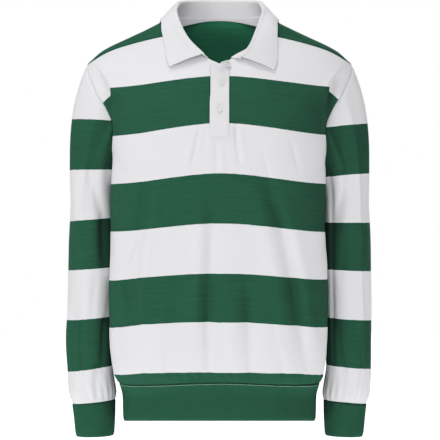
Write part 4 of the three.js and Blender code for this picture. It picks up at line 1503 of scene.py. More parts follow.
@dataclass
class Panels:
    """The front with its slot and neckline, and the back, which runs over the shoulders."""

    form: ShirtForm
    finishes: Finishes
    columns: int = 100
    slot_columns: int = 5
    hem_rows: int = 112
    armhole_steps: int = 74
    shoulder_rows: int = 30
    neck_rows: int = 18

    def armhole_rows(self, count: int) -> Array:
        """Heights up the armhole, closer together near its two ends."""
        q = np.linspace(0, 1, count + 1)
        return mix(UNDERARM, SHOULDER, mix(q, (1 - np.cos(math.pi * q)) / 2, 0.62))

    def rows(self, top: Array) -> Array:
        """Heights of the rows of a panel.

        Args:
            top: the rows above the armhole.

        Returns:
            All its rows, one of them at the end of the slot.
        """
        below = stepped((HEM_SEAM, UNDERARM, self.hem_rows))
        rows = np.concatenate((below[:-1], self.armhole_rows(self.armhole_steps)[:-1], top))
        rows[np.argmin(np.abs(rows - SLOT_END))] = SLOT_END
        return rows

    def worked(self, v: Array, turns: Array, face: int, creases: Sequence[Crease]) -> tuple[Array, Array]:
        """Points of a panel with its creases, ripples, gathers and seam grooves.

        Args:
            v: height of each row.
            turns: turns of each row's points.
            face: -1 for the front and 1 for the back.
            creases: the finer creases.

        Returns:
            The points, and the directions out of the cloth.
        """
        smooth, normal = self.form.panel_point(v[:, None], turns, face)
        x, z = smooth[..., 0], smooth[..., 2]
        across = run_lengths(smooth, 1)
        edges = [refined(edge, SEAM_STEP) for edge in (smooth[:, 0], smooth[:, -1])]
        seams = distance_to(smooth, np.concatenate(edges))
        held = ease((-100 - v[:, None]) / 60)
        calm = clamp01(seams / 12)
        raised = sum((c.raise_at(x, z) for c in creases), np.zeros(x.shape))
        raised += ripples(across + (0 if face < 0 else 37), z, 0.6 + face) * mix(0.25, 1.0, held) * calm
        above_hem = v[:, None] - HEM_SEAM
        bunch = np.exp(-(((above_hem - 9) / 13) ** 2)) * clamp01(above_hem / 5)
        raised += 1.1 * gathers(across, 17, 1.3 * face) * bunch
        raised += seam_relief(seams, SEAM_DEPTH)
        raised -= 0.9 * np.exp(-((above_hem / 2.2) ** 2))
        return smooth + normal * raised[..., None], normal

    def make_front(self) -> None:
        """Makes the front panel."""
        v = self.rows(stepped((SHOULDER, SHOULDER_SEAM_TOP - 0.6, self.shoulder_rows)))
        inside = self.form.turn_at_width(v, self.form.front_opening(v))
        outer = self.form.even_turns(v, inside, self.form.edge_turn(v, -1), self.columns)
        centre = np.linspace(-1, 1, 2 * self.slot_columns + 1)[None, 1:-1] * inside[:, None]
        turns = np.concatenate((-outer[:, ::-1], centre, outer), axis=1)
        points, _ = self.worked(v, turns, -1, FRONT_CREASES)
        keep = np.ones((len(v) - 1, turns.shape[1] - 1), bool)
        keep[v[:-1] >= SLOT_END - 0.01, self.columns : self.columns + 2 * self.slot_columns] = False
        across = run_lengths(points, 1)
        across = across - across[:, [turns.shape[1] // 2]]
        height = self.form.hoop_height(points[..., 0], points[..., 2], v[:, None], -1)
        cloth = Cloth("cloth_front", points, across, height, run_lengths(points, 0), keep=keep)
        fit(cloth.build(JERSEY), self.finishes.front, ["front_panel"], FRONT_CUT)

    def make_back(self) -> None:
        """Makes the back panel."""
        to_seam = (SHOULDER, SHOULDER_SEAM_TOP, self.shoulder_rows)
        v = self.rows(stepped(to_seam, (SHOULDER_SEAM_TOP, 0, self.neck_rows)))
        half = self.form.even_turns(v, self.form.edge_turn(v, 1), np.full(len(v), math.pi), self.columns)
        turns = np.concatenate((half, 2 * math.pi - half[:, -2::-1]), axis=1)
        points, _ = self.worked(v, turns, 1, BACK_CREASES)
        across = run_lengths(points, 1)
        across = across - across[:, [turns.shape[1] // 2]]
        height = self.form.hoop_height(points[..., 0], points[..., 2], v[:, None], 1)
        cloth = Cloth("cloth_back", points, across, height, run_lengths(points, 0))
        piece = cloth.build(JERSEY, two_faced=True)
        # The wrong side gets the material whose green carries painted light.
        reverse = self.finishes.back_inside_painted_light
        fit(piece, self.finishes.back, ["back_panel"], BACK_CUT, reverse)


class SleeveForm:
    """Level sections of the sleeves or of the cuffs, on the side of positive x."""

    def __init__(self, rows: Sequence[Sequence[float]]) -> None:
        """Makes the curves of a table of sections."""
        self.inner, self.outer, self.middle, self.half_depth, self.tilt = curves(rows)

    def point(self, z: Array, turn: Array) -> Array:
        """Points of the cloth.

        Args:
            z: heights.
            turn: 0 at the outer side, a quarter turn at the front.

        Returns:
            Points in millimetres, on the last axis.
        """
        bend = 2 / SLEEVE_SQUARE
        half = (self.outer(z) - self.inner(z)) / 2
        outwards = power(np.cos(turn), bend)
        y = self.middle(z) - self.half_depth(z) * power(np.sin(turn), bend)
        return xyz(self.inner(z) + half * (1 + outwards), y, z - self.tilt(z) / 2 * outwards)


@dataclass
class Sleeves:
    """The two set-in sleeves."""

    form: ShirtForm
    finishes: Finishes
    columns: int = 120
    cap_rows: int = 62
    upper_rows: int = 84
    lower_rows: int = 34
    cuff_fold_from: float = -600.0
    mean_radius: float = 55.0

    def turns(self, arm: Arm) -> Array:
        """Turns round the ring, in the order that runs to the right seen from outside."""
        return np.linspace(math.pi, -math.pi, self.columns + 1) * arm.value

    def armhole(self, turn: Array, arm: Arm) -> tuple[Array, Array]:
        """The armhole's edge on the panels.

        Args:
            turn: turns round the ring.
            arm: which sleeve.

        Returns:
            The edge's points, and the directions out of the panels there.
        """
        v = mix(UNDERARM, SHOULDER, (1 + np.cos(turn)) / 2)
        front = self.form.panel_point(v, arm.value * self.form.edge_turn(v, -1), -1)
        back = self.form.panel_point(v, arm.value * self.form.edge_turn(v, 1), 1)
        on_front = (np.sin(turn) > 0)[:, None]
        return np.where(on_front, front[0], back[0]), unit(np.where(on_front, front[1], back[1]))

    def cap(self, turn: Array, arm: Arm) -> tuple[Array, Array, Array]:
        """The rows from the armhole down to the first level section.

        Args:
            turn: turns round the ring.
            arm: which sleeve.

        Returns:
            The rows of points, the armhole's points, and the directions out of the panels there.
        """
        tube = SleeveForm(SLEEVE_SECTIONS)
        side = np.array([arm.value, 1, 1])
        start, facing = self.armhole(turn, arm)
        end = tube.point(np.full(turn.shape, SLEEVE_TOP), turn) * side
        c = np.cos(turn)[:, None]
        other = np.where(c > 0, np.array(LEAVE_TOP, float), np.array(LEAVE_UNDER, float))
        leave = mix(np.array(LEAVE_FLANK, float), other, ease(np.abs(c)))
        leave = leave * np.stack([np.full(turn.shape, arm.value), np.sin(turn), np.ones(turn.shape)], -1)
        arrive = xyz(0, 0, end[:, 2] - start[:, 2])
        share = (np.linspace(0, 1, self.cap_rows + 1) ** 1.25)[:, None, None]
        stay = 1 - 3 * share**2 + 2 * share**3
        path = start * stay + end * (1 - stay)
        path = path + leave * (share - 2 * share**2 + share**3) + arrive * (share**3 - share**2)
        return path, start, facing

    def hoop_height(self, z: Array, turn: Array, arm: Arm) -> Array:
        """The height along the cloth that the hoops follow.

        Args:
            z: real heights.
            turn: turns round the ring.
            arm: which sleeve.

        Returns:
            Heights at which the edges of SLEEVE_HOOPS lie where the photo has them.
        """
        edges = np.array(ARM_EDGES[arm], float)[::-1]
        edges = np.concatenate((edges[:1] - 150, edges, edges[-1:] + 150))
        known = np.array(SLEEVE_HOOPS, float)[::-1]
        known = np.concatenate((known[:1] - 150, known, known[-1:] + 150))
        outward = (1 + power(np.cos(turn), 2 / SLEEVE_SQUARE)) / 2
        places = edges[:, 1] + (edges[:, 0] - edges[:, 1]) * outward[:, None]
        return np.stack([np.interp(z[:, i], places[i], known) for i in range(len(turn))], axis=1)

    def raised(self, own: Sequence[Crease], turn: Array, z: Array) -> Array:
        """How much an arm's creases raise its cloth.

        Args:
            own: the arm's creases.
            turn: turns round the ring.
            z: heights.

        Returns:
            Millimetres along the outward direction.
        """
        degrees = np.degrees(turn) % 360
        scale = math.degrees(1 / self.mean_radius)
        return sum((crease.raise_at(degrees, z, scale, 360) for crease in own), 0 * z)

    def finer_relief(self, arm: Arm, turn: Array, z: Array) -> Array:
        """The finer creases, the ripples and the gathers above the cuff.

        Args:
            arm: which sleeve.
            turn: turns round the ring.
            z: heights.

        Returns:
            Millimetres along the outward direction.
        """
        around = self.mean_radius * np.abs(turn) * 1.2 * np.sign(np.sin(turn))
        finer = self.raised(SLEEVE_CREASES[arm], turn, z)
        finer = finer + 0.8 * ripples(around + 23 * arm.value, z, 1.9 * arm.value)
        above_cuff = z - CUFF_SEAM
        bunch = np.exp(-(((above_cuff - 16) / 20) ** 2)) * clamp01(above_cuff / 8)
        ring = self.mean_radius * 0.9 * (turn + math.pi)
        pitch = 2 * math.pi * self.mean_radius * 0.9 / 19
        return finer + 1.2 * gathers(ring, pitch, 0.8 * arm.value) * bunch

    def make(self, arm: Arm) -> None:
        """Makes one sleeve.

        Args:
            arm: which sleeve.
        """
        turn = self.turns(arm)
        cap, seam, facing = self.cap(turn, arm)
        upper = (SLEEVE_TOP, self.cuff_fold_from, self.upper_rows)
        z_rows = stepped(upper, (self.cuff_fold_from, CUFF_SEAM, self.lower_rows))
        side = np.array([arm.value, 1, 1])
        tube = SleeveForm(SLEEVE_SECTIONS).point(z_rows[1:, None], turn[None, :]) * side
        points = np.concatenate((cap, tube))
        hoops = self.hoop_height(points[..., 2], turn, arm)
        z = points[..., 2]
        from_seam = distance_to(points, refined(seam, SEAM_STEP))
        folds = self.raised(SLEEVE_FOLDS[arm], turn, z)
        radial = xyz(arm.value * np.cos(turn), -np.sin(turn), 0)
        points = points + radial * (folds * clamp01(from_seam / 4))[..., None]
        normal = face_normals(points[::-1], True)[::-1]
        finer = self.finer_relief(arm, turn, z) * clamp01(from_seam / 14)
        groove = seam_relief(from_seam, SEAM_DEPTH) * np.exp(-((from_seam / 30) ** 2))
        points = points + normal * finer[..., None] + facing * groove[..., None]
        tuck = 1.2 * np.exp(-(((z - CUFF_SEAM) / 3) ** 2)) * (z < -640)
        points = (points - radial * tuck[..., None])[::-1]
        across = run_lengths(points, 1)
        along = run_lengths(points, 0)
        cloth = Cloth(f"cloth_sleeve_{arm.label}", points, across, hoops[::-1], along, closed=True)
        fit(cloth.build(JERSEY), self.finishes.sleeve, [f"sleeve_{arm.label}"], SLEEVE_CUT)


@dataclass
class RibTube:
    """A doubled rib tube, folded round at its lower edge, with raised ribs."""

    surface: Callable[[Array, Array], Array]
    top: float
    bottom: float
    ribs: int
    layer_rows: int = 16
    fold_rows: int = 7
    rib_height: float = 0.3
    tuck: float = 0.8

    def even_ring(self, count: int) -> Array:
        """Turns that part the ring into even lengths, from the centre back round the front.

        Args:
            count: number of parts.

        Returns:
            The turns.
        """
        fine = np.linspace(-math.pi, math.pi, 1441)
        middle = (self.top + self.bottom) / 2
        line = self.surface(np.full(fine.shape, middle), fine)
        lengths = line_lengths(line)
        return np.interp(np.linspace(0, lengths[-1], count + 1), lengths, fine)

    def cloth(self, name: str, order: int) -> Cloth:
        """Makes the closed surface.

        Args:
            name: the piece's name.
            order: 1 if growing turns run to the right seen from outside, and -1 if they run to the left.

        Returns:
            The cloth.
        """
        half = RIB / 2
        ring = self.even_ring(4 * self.ribs)[::order]
        theta = np.linspace(0, math.pi, self.fold_rows)
        layer = np.ones(self.layer_rows)
        outer = stepped((self.top, self.bottom + half, self.layer_rows))
        inner = outer[::-1]
        v = np.concatenate((outer[:-1], self.bottom + half - half * np.sin(theta), inner[1:]))
        off = np.concatenate((0 * layer, half * (np.cos(theta) - 1), -RIB * layer))
        flat = self.surface(v[:, None], ring[None, :])
        rise = self.surface(v[:, None] + 1, ring[None, :]) - self.surface(v[:, None] - 1, ring[None, :])
        across = np.gradient(flat, axis=1)
        across[:, 0] = across[:, -1] = flat[:, 1] - flat[:, -2]
        out = unit(np.cross(across, rise))
        wave = np.cos(np.arange(len(ring)) * math.pi / 2) * self.rib_height
        on_outer = np.concatenate((layer, np.cos(theta), -layer))
        below_seam = self.top - v
        wave = wave[None, :] * (on_outer * clamp01(below_seam / 4))[:, None]
        tuck = self.tuck * np.exp(-((below_seam / 2.2) ** 2))
        place = np.arange(len(ring))
        from_join = clamp01(np.minimum(place, place[::-1]) / 12)
        near_seam = np.exp(-(((below_seam - 5) / 12) ** 2))[:, None]
        waves = 0.5 * gathers(place * 0.7, 21, 0.4) * from_join * near_seam
        points = flat + out * ((off - tuck)[:, None] + wave + waves)[..., None]
        points = np.concatenate((points, points[:1]))[::-1]
        lengths = run_lengths(flat, 1)
        lengths = np.concatenate((lengths, lengths[:1]))[::-1]
        heights = np.concatenate((v, v[:1]))[::-1, None]
        return Cloth(name, points, lengths, heights, run_lengths(points, 0), closed=True)


@dataclass
class Ribs:
    """The hem band and the two cuffs."""

    form: ShirtForm
    finishes: Finishes
    hem_ribs: int = 330
    cuff_ribs: int = 84
    stitches_below_seam: float = 2.6
    stitches_out: float = 0.35

    def make_hem(self) -> None:
        """Makes the hem band."""
        tube = RibTube(lambda v, turn: self.form.band.point(v, turn), HEM_SEAM, HEM_END, self.hem_ribs)
        fit(tube.cloth("rib_hem", 1).build(), self.finishes.rib, ["hem_band"], HEM_CUT)

    def make_cuff(self, arm: Arm) -> None:
        """Makes one cuff.

        Args:
            arm: which sleeve it is on.
        """
        sections = SleeveForm(CUFF_SECTIONS)
        side = np.array([arm.value, 1, 1])
        tube = RibTube(lambda z, turn: sections.point(z, turn) * side, CUFF_SEAM, CUFF_END, self.cuff_ribs)
        cloth = tube.cloth(f"rib_cuff_{arm.label}", -arm.value)
        cut = Cut(CUFF_WIDTH, CUFF_LENGTH, "hung", (f"cloth_sleeve_{arm.label}",))
        fit(cloth.build(), self.finishes.rib, [f"cuff_{arm.label}"], cut)

    def sew_seams(self) -> None:
        """Sews a row of stitches just under the seams of the hem band and the cuffs."""
        turn = np.linspace(-math.pi, math.pi, 721)
        v = np.full(turn.shape, HEM_SEAM - self.stitches_below_seam)
        points, facing = self.form.band.cloth(v, turn)
        hem_line = (points + facing * self.stitches_out, facing)
        sew("stitches_hem", [hem_line], Stitch(), self.finishes.pale_thread)
        sections = SleeveForm(CUFF_SECTIONS)
        lines = []
        for arm in Arm:
            z = np.full(turn.shape, CUFF_SEAM - self.stitches_below_seam)
            ring = sections.point(z, turn) * np.array([arm.value, 1, 1])
            out = unit(np.cross(np.gradient(ring, axis=0), [0, 0, 1])) * arm.value
            outward = xyz(arm.value * np.cos(turn), -np.sin(turn), 0)
            out = out * np.sign((out * outward).sum(-1, keepdims=True))
            lines.append((ring + out * self.stitches_out, out))
        sew("stitches_cuffs", lines, Stitch(), self.finishes.green_thread)


@dataclass
class Collar:
    """The folded collar: a stand up from the neckline, the roll and the fall."""

    form: ShirtForm
    finishes: Finishes
    stations: int = 110
    stand_steps: int = 9
    roll_steps: int = 10
    fall_steps: int = 26
    stitch_inset: float = 5.8

    def strips(self, side: int) -> Array:
        """Half of the collar's middle surface.

        Args:
            side: 1 for the half on the side of positive x and -1 for the other.

        Returns:
            Its rows from seam to edge, at each station from the centre back.
        """
        share, seam_point, facing = self.form.neckline(self.stations)
        along = np.gradient(seam_point, axis=0)
        along[0] = (1, 0, 0)
        into = unit(np.cross(along, facing))
        seam = seam_point + into * (2 * GAP + COLLAR_CLOTH / 2) + facing * 2 * GAP
        roll_x, roll_y, roll_z, edge_turn, edge_v = (curve(share) for curve in curves(COLLAR_RING))
        shift = np.array(COLLAR_END_SHIFT) * (ease((share - 0.6) / 0.4) if side > 0 else 0 * share)[:, None]
        roll = xyz(roll_x, roll_y, roll_z) + shift
        rest, out_of_body = self.form.body.cloth(edge_v, np.radians(edge_turn))
        edge = rest + out_of_body * COLLAR_EDGE_LIFT + shift
        out = edge - roll
        out[:, 2] = 0
        out = unit(out)
        radius = np.minimum(ROLL_RADIUS, 0.3 * np.linalg.norm(roll - seam, axis=1) + 1.4)[:, None]
        centre = roll + out * 0.3 * radius
        centre[:, 2] = roll[:, 2] - radius[:, 0]

        def on_roll(angle: float) -> Array:
            """The row at an angle round the roll.

            Args:
                angle: 0 on the inside of the neck, growing towards the outside.

            Returns:
                The row's points.
            """
            point = centre - out * radius * math.cos(angle)
            point[:, 2] = centre[:, 2] + radius[:, 0] * math.sin(angle)
            return point

        rows = [mix(seam, on_roll(0), k / self.stand_steps) for k in range(self.stand_steps)]
        rows += [on_roll(ROLL_SWEEP * k / self.roll_steps) for k in range(self.roll_steps)]
        for k in range(self.fall_steps + 1):
            q = k / self.fall_steps
            bulge = out_of_body * FALL_BULGE * math.sin(math.pi * q)
            rows.append(mix(on_roll(ROLL_SWEEP), edge, q) + bulge)
        return np.stack(rows) * np.array([side, 1, 1])

    def surface(self) -> Array:
        """The whole collar's middle surface, from end to end."""
        right, left = self.strips(-1), self.strips(1)
        return np.concatenate((right[:, :0:-1], left), axis=1)

    def make(self) -> None:
        """Makes the collar, with the groove that its edge stitching pulls in."""
        points = self.surface()
        normal = face_normals(points, False)
        u = run_lengths(points, 1)
        w = run_lengths(points, 0)
        from_edge = np.minimum(w[-1] - w, np.minimum(u, u[:, [-1]] - u))
        groove = 0.28 * np.exp(-(((from_edge - 6) / 1.2) ** 2))
        swell = 0.3 * clamp01(from_edge / 3)
        wander = 0.35 * ripples(1.6 * u, 1.6 * w, 2.2) * clamp01((w - 12) / 25)
        points = points + normal * (swell + wander - groove)[..., None]
        cloth = Cloth("twill_collar", points, u, w, w)
        piece = cloth.build(COLLAR_CLOTH, Rim.MIDDLE, 0.45)
        fit(piece, self.finishes.twill, ["collar"], COLLAR_CUT)

    def sew_edge(self) -> None:
        """Sews the row of stitches round the fall, inside its edge."""
        points = self.surface()
        normal = face_normals(points, False)
        w = run_lengths(points, 0)
        u = run_lengths(points, 1)
        start = self.stand_steps + self.roll_steps
        inset = self.stitch_inset
        rows_up = [int(i) for i in np.argmin(np.abs(w - (w[-1] - inset)), axis=0)]
        first = int(np.argmin(np.abs(u[-1] - inset)))
        end = int(np.argmin(np.abs(u[-1] - (u[-1, -1] - inset))))
        line = [(i, first) for i in range(start, rows_up[first])]
        line += [(rows_up[j], j) for j in range(first, end + 1)]
        line += [(i, end) for i in range(rows_up[end] - 1, start - 1, -1)]
        index = tuple(np.array(line).T)
        lifted = points[index] + normal[index] * (COLLAR_CLOTH / 2 + 0.15)
        stitch = Stitch(pitch=2.6, length=2.1, width=0.45, depth=0.35)
        lines = [(smoothed(lifted, 2), normal[index])]
        sew("stitches_collar", lines, stitch, self.finishes.white_thread)

    def make_tape(self) -> None:
        """Makes the tape inside the back neck seam."""
        share, point, facing = self.form.neckline(self.stations)
        reach = int(np.searchsorted(share, 0.4))
        point = point[:reach]
        inward = unit(point * np.array([-1, -1, 0]))
        low = -1.5 - 13.5 * (np.abs(point[:, 0]) / 68) ** 2
        heights = mix(low, 2.5, np.linspace(0, 1, 10)[:, None])
        moved = point + inward * (2.0 + 2 * GAP)
        half = moved[None] + xyz(0, 0, heights)
        both = np.concatenate(((half * np.array([-1, 1, 1]))[:, :0:-1], half), axis=1)
        cloth = Cloth("tape_neck", both, run_lengths(both, 1), run_lengths(both, 0), run_lengths(both, 0))
        fit(cloth.build(TAPE_CLOTH, Rim.OUTWARD), self.finishes.tape, ["neck_tape"], TAPE_CUT)


@dataclass(frozen=True)
class ButtonForm:
    """A disc with a raised rim and four holes, in millimetres."""

    radius: float = 5.8
    thickness: float = 2.4
    rim: float = 1.8
    well: float = 0.9
    hole_radius: float = 0.85
    hole_place: float = 1.45
    sides: int = 36
    hole_sides: int = 12

    def build(self) -> bmesh.types.BMesh:
        """Makes the button round the Z axis, with its underside at 0.

        Returns:
            The closed form.
        """
        bm = bmesh.new()
        self.add_well(bm)
        self.add_rim(bm)
        bmesh.ops.remove_doubles(bm, verts=bm.verts, dist=1e-4)
        bmesh.ops.recalc_face_normals(bm, faces=bm.faces)
        return bm

    def add_well(self, bm: bmesh.types.BMesh) -> None:
        """Makes the two faces inside the rim, and the walls of the holes between them.

        Args:
            bm: the bmesh to add to.
        """
        h = self.hole_place
        circles = [(0, 0, self.sides, self.radius - self.rim)]
        corners = ((h, h), (-h, h), (-h, -h), (h, -h))
        circles += [(x, y, self.hole_sides, self.hole_radius) for x, y in corners]
        for x, y, sides, radius in circles:
            moved = Matrix.Translation((x, y, 0))
            bmesh.ops.create_circle(bm, segments=sides, radius=radius, matrix=moved)
        bmesh.ops.triangle_fill(bm, use_beauty=True, use_dissolve=False, edges=bm.edges)
        raised = bmesh.ops.extrude_face_region(bm, geom=bm.faces[:] + bm.edges[:] + bm.verts[:])
        verts = [g for g in raised["geom"] if isinstance(g, bmesh.types.BMVert)]
        bmesh.ops.translate(bm, verts=verts, vec=(0, 0, self.thickness - self.well))
        past_holes = self.radius - 2.6
        walls = [f for f in bm.faces if abs(f.normal.z) < 0.5]
        outer = [f for f in walls if f.calc_center_median().length > past_holes]
        bmesh.ops.delete(bm, geom=outer, context="FACES_ONLY")

    def add_rim(self, bm: bmesh.types.BMesh) -> None:
        """Runs the rim over from the upper face to the lower one.

        Args:
            bm: the bmesh with the two faces.
        """
        radius, thick = self.radius, self.thickness
        profile = (
            (radius - 1.4, thick - 0.15),
            (radius - 0.9, thick),
            (radius - 0.25, thick - 0.2),
            (radius, thick - 0.8),
            (radius, 0.8),
            (radius - 0.5, 0.15),
            (radius - 1.0, 0),
        )
        loop = [e for e in bm.edges if e.is_boundary and e.verts[0].co.z > 0.1]
        for r, z in profile:
            grown = bmesh.ops.extrude_edge_only(bm, edges=loop)["geom"]
            for vert in (g for g in grown if isinstance(g, bmesh.types.BMVert)):
                flat = Vector((vert.co.x, vert.co.y, 0)).normalized() * r
                vert.co = (flat.x, flat.y, z)
            loop = [g for g in grown if isinstance(g, bmesh.types.BMEdge)]
        bottom = [e for e in bm.edges if e.is_boundary and e not in loop]
        bmesh.ops.bridge_loops(bm, edges=loop + bottom)


@dataclass
class Placket:
    """The two strips of the front opening, their sewing and the three buttons."""

    form: ShirtForm
    finishes: Finishes
    columns: int = 24
    rows: int = 72
    button: ButtonForm = field(default_factory=ButtonForm)
    button_lift: float = 0.45

    def on_front(self, x: Array, v: Array, off: Array) -> Array:
        """Points over the front.

        Args:
            x: distances from the centre line, with their sign.
            v: heights along the cloth.
            off: how far they are moved out from the cloth.

        Returns:
            The points.
        """
        turn = np.sign(x) * self.form.turn_at_width(v, np.abs(x))
        point, normal = self.form.panel_point(v, turn, -1)
        return point + normal * np.asarray(off)[..., None]

    def on_lower(self, across: Array, v: Array) -> Array:
        """Points of the strip that fills the slot.

        Args:
            across: shares of its width.
            v: heights along the cloth.

        Returns:
            The points.
        """
        half = PLACKET_HALF + GAP
        flare = LOWER_STRIP_FLARE * ease((v + 93) / 9)
        x = mix(-half - flare, half, across)
        return self.on_front(x, v, np.full(x.shape, -PLACKET_CLOTH - 0.05))

    def on_upper(self, across: Array, v: Array) -> Array:
        """Points of the strip over the slot, whose upper corner has come loose and swung aside.

        Args:
            across: shares of its width.
            v: heights along the cloth.

        Returns:
            The points.
        """
        rise = clamp01((v - PLACKET_LIFT_END) / (PLACKET_TOP - PLACKET_LIFT_END))
        free = mix(rise**1.5, rise**8, PLACKET_CURL)
        half = PLACKET_HALF + 1
        x = mix(-half, half, across) + PLACKET_SWING * free * (1 - across) ** 1.3
        return self.on_front(x, v, GAP + PLACKET_LIFT * free * (1 - across) ** 1.1)

    def strip(
        self,
        name: str,
        low: float,
        top: tuple[float, float],
        place: Callable[[Array, Array], Array],
        rounded: float,
    ) -> bpy.types.Object:
        """Makes a strip.

        Args:
            name: the piece's name.
            low: height of its lower end.
            top: heights of its upper end on its two sides.
            place: gives the points.
            rounded: how far its long sides turn in, in millimetres.

        Returns:
            The strip's object, without a material.
        """
        across = np.linspace(0, 1, self.columns + 1)[None, :]
        rise = np.linspace(0, 1, self.rows + 1)[:, None]
        v = mix(low, mix(top[0], top[1], across), rise)
        points = place(np.broadcast_to(across, v.shape), v)
        normal = face_normals(points, False)
        u, w = run_lengths(points, 1), run_lengths(points, 0)
        from_side = np.minimum(u, u[:, [-1]] - u)
        puff = rounded * (clamp01(from_side / 1.6) - 0.7 * np.exp(-(((from_side - 2.6) / 0.9) ** 2)))
        points = points + normal * puff[..., None]
        return Cloth(name, points, u, w, w).build(PLACKET_CLOTH, Rim.OUTWARD, 0.4)

    def make_strips(self) -> None:
        """Makes the lower and the upper strip."""
        lower = self.strip("strip_lower", SLOT_END + GAP, LOWER_STRIP_TOP, self.on_lower, 0.0)
        upper = self.strip("strip_upper", SLOT_END - 4, UPPER_STRIP_TOP, self.on_upper, 0.35)
        fit(lower, self.finishes.twill, ["placket_lower"], LOWER_STRIP_CUT)
        fit(upper, self.finishes.twill, ["placket_upper"], UPPER_STRIP_CUT)

    def row(self, a: tuple[float, float], b: tuple[float, float], steps: int = 60) -> tuple[Array, Array]:
        """A straight row of sewing on the upper strip.

        Args:
            a: the share of the width and the height where it starts.
            b: the same where it ends.
            steps: number of points.

        Returns:
            The points, and the directions out of the strip.
        """
        q = np.linspace(0, 1, steps)
        across, v = mix(a[0], b[0], q), mix(a[1], b[1], q)
        point = self.on_upper(across, v)
        right = self.on_upper(across + 0.02, v) - self.on_upper(across - 0.02, v)
        up = self.on_upper(across, v + 1) - self.on_upper(across, v - 1)
        out = unit(np.cross(right, up))
        return point + out * (PLACKET_CLOTH + 0.2), out

    def sew_strips(self) -> None:
        """Sews the rows down both sides of the upper strip and the box at its lower end."""
        low = SLOT_END - 1.5
        box = low + 14
        near, far = 0.085, 0.915
        lines = [
            self.row((near, low), (near, PLACKET_TOP - 3)),
            self.row((far, low), (far, -92)),
            self.row((near, low), (far, low), 20),
            self.row((near, box), (far, box), 20),
        ]
        stitch = Stitch(pitch=2.4, length=1.95, width=0.42, depth=0.32)
        sew("stitches_placket", lines, stitch, self.finishes.white_thread)

    def frame_at(self, across: float, v: float) -> tuple[Array, Array, Array, Array]:
        """A place on the upper strip.

        Args:
            across: share of its width.
            v: height along the cloth.

        Returns:
            The point, and the directions across, up and out.
        """
        point = self.on_upper(np.array(across), np.array(v))
        right = unit(self.on_upper(np.array(across + 0.1), v) - self.on_upper(np.array(across - 0.1), v))
        up = self.on_upper(np.array(across), v + 3.0) - self.on_upper(np.array(across), v - 3.0)
        out = unit(np.cross(right, up))
        return point, right, np.cross(out, right), out

    def make_button(self, name: str, across: float, v: float) -> None:
        """Makes one button and seats it on the upper strip.

        Args:
            name: the part's node that it replaces.
            across: share of the strip's width.
            v: height along the cloth.
        """
        point, right, up, out = self.frame_at(across, v)
        bm = self.button.build()
        seat = point + out * (PLACKET_CLOTH + self.button_lift)
        bmesh.ops.transform(bm, matrix=placed((right, up, out, seat)), verts=bm.verts)
        mesh = finished_mesh(name, bm)
        shade_smooth(mesh)
        mesh.set_sharp_from_angle(angle=math.radians(40))
        fit(link(f"disc_{name}", mesh), self.finishes.button, [name])

    def sew_button(self, name: str, across: float, v: float) -> None:
        """Sews a button on through its holes and works the buttonhole round it.

        Args:
            name: the part's node that the button replaces.
            across: share of the strip's width.
            v: height along the cloth.
        """
        point, right, up, out = self.frame_at(across, v)
        facing = np.stack([out, out])
        above = PLACKET_CLOTH + self.button_lift + self.button.thickness - 0.8
        top = point + out * above
        lines = []
        for x in (-self.button.hole_place, self.button.hole_place):
            for shift in (-0.28, 0.28):
                ends = [top + right * (x + shift) + up * y for y in (-2.0, 2.0)]
                lines.append((np.array(ends), facing))
        thread = Stitch(pitch=4.2, length=4.2, width=0.55, depth=0.6)
        sew(f"thread_{name}", lines, thread, self.finishes.white_thread)
        lines = []
        half = right * 0.9
        for side in (-1.5, 1.5):
            for y in np.arange(-9.0, 9.1, 0.75):
                centre = point + out * (PLACKET_CLOTH + 0.3) + up * y + right * side
                lines.append((np.array([centre - half, centre + half]), facing))
        fine = Stitch(pitch=1.8, length=1.8, width=0.5, depth=0.35)
        sew(f"buttonhole_{name}", lines, fine, self.finishes.white_thread)


# The curve of the view settings that works on red, green and blue together.
COMBINED = 3
# Name, share of the upper strip's width, and height along the cloth.
BUTTONS = (
    ("button_top", 0.82, -95.0),
    ("button_middle", 0.54, -124.0),
    ("button_low", 0.5, -169.5),
)


@dataclass(frozen=True)
class Softbox:
    """A square area light that points at the shirt."""

    name: str
    place: tuple
    size: float
    watts: float

    def hang(self, aim: Vector) -> None:
        """Adds the light.

        Args:
            aim: the place that it points at.
        """
        data = bpy.data.lights.new(self.name, "AREA")
        data.energy = self.watts
        data.size = self.size
        lamp = link(self.name, data)
        lamp.location = self.place
        lamp.rotation_euler = (aim - Vector(self.place)).to_track_quat("-Z", "Y").to_euler()
        lamp.visible_camera = False


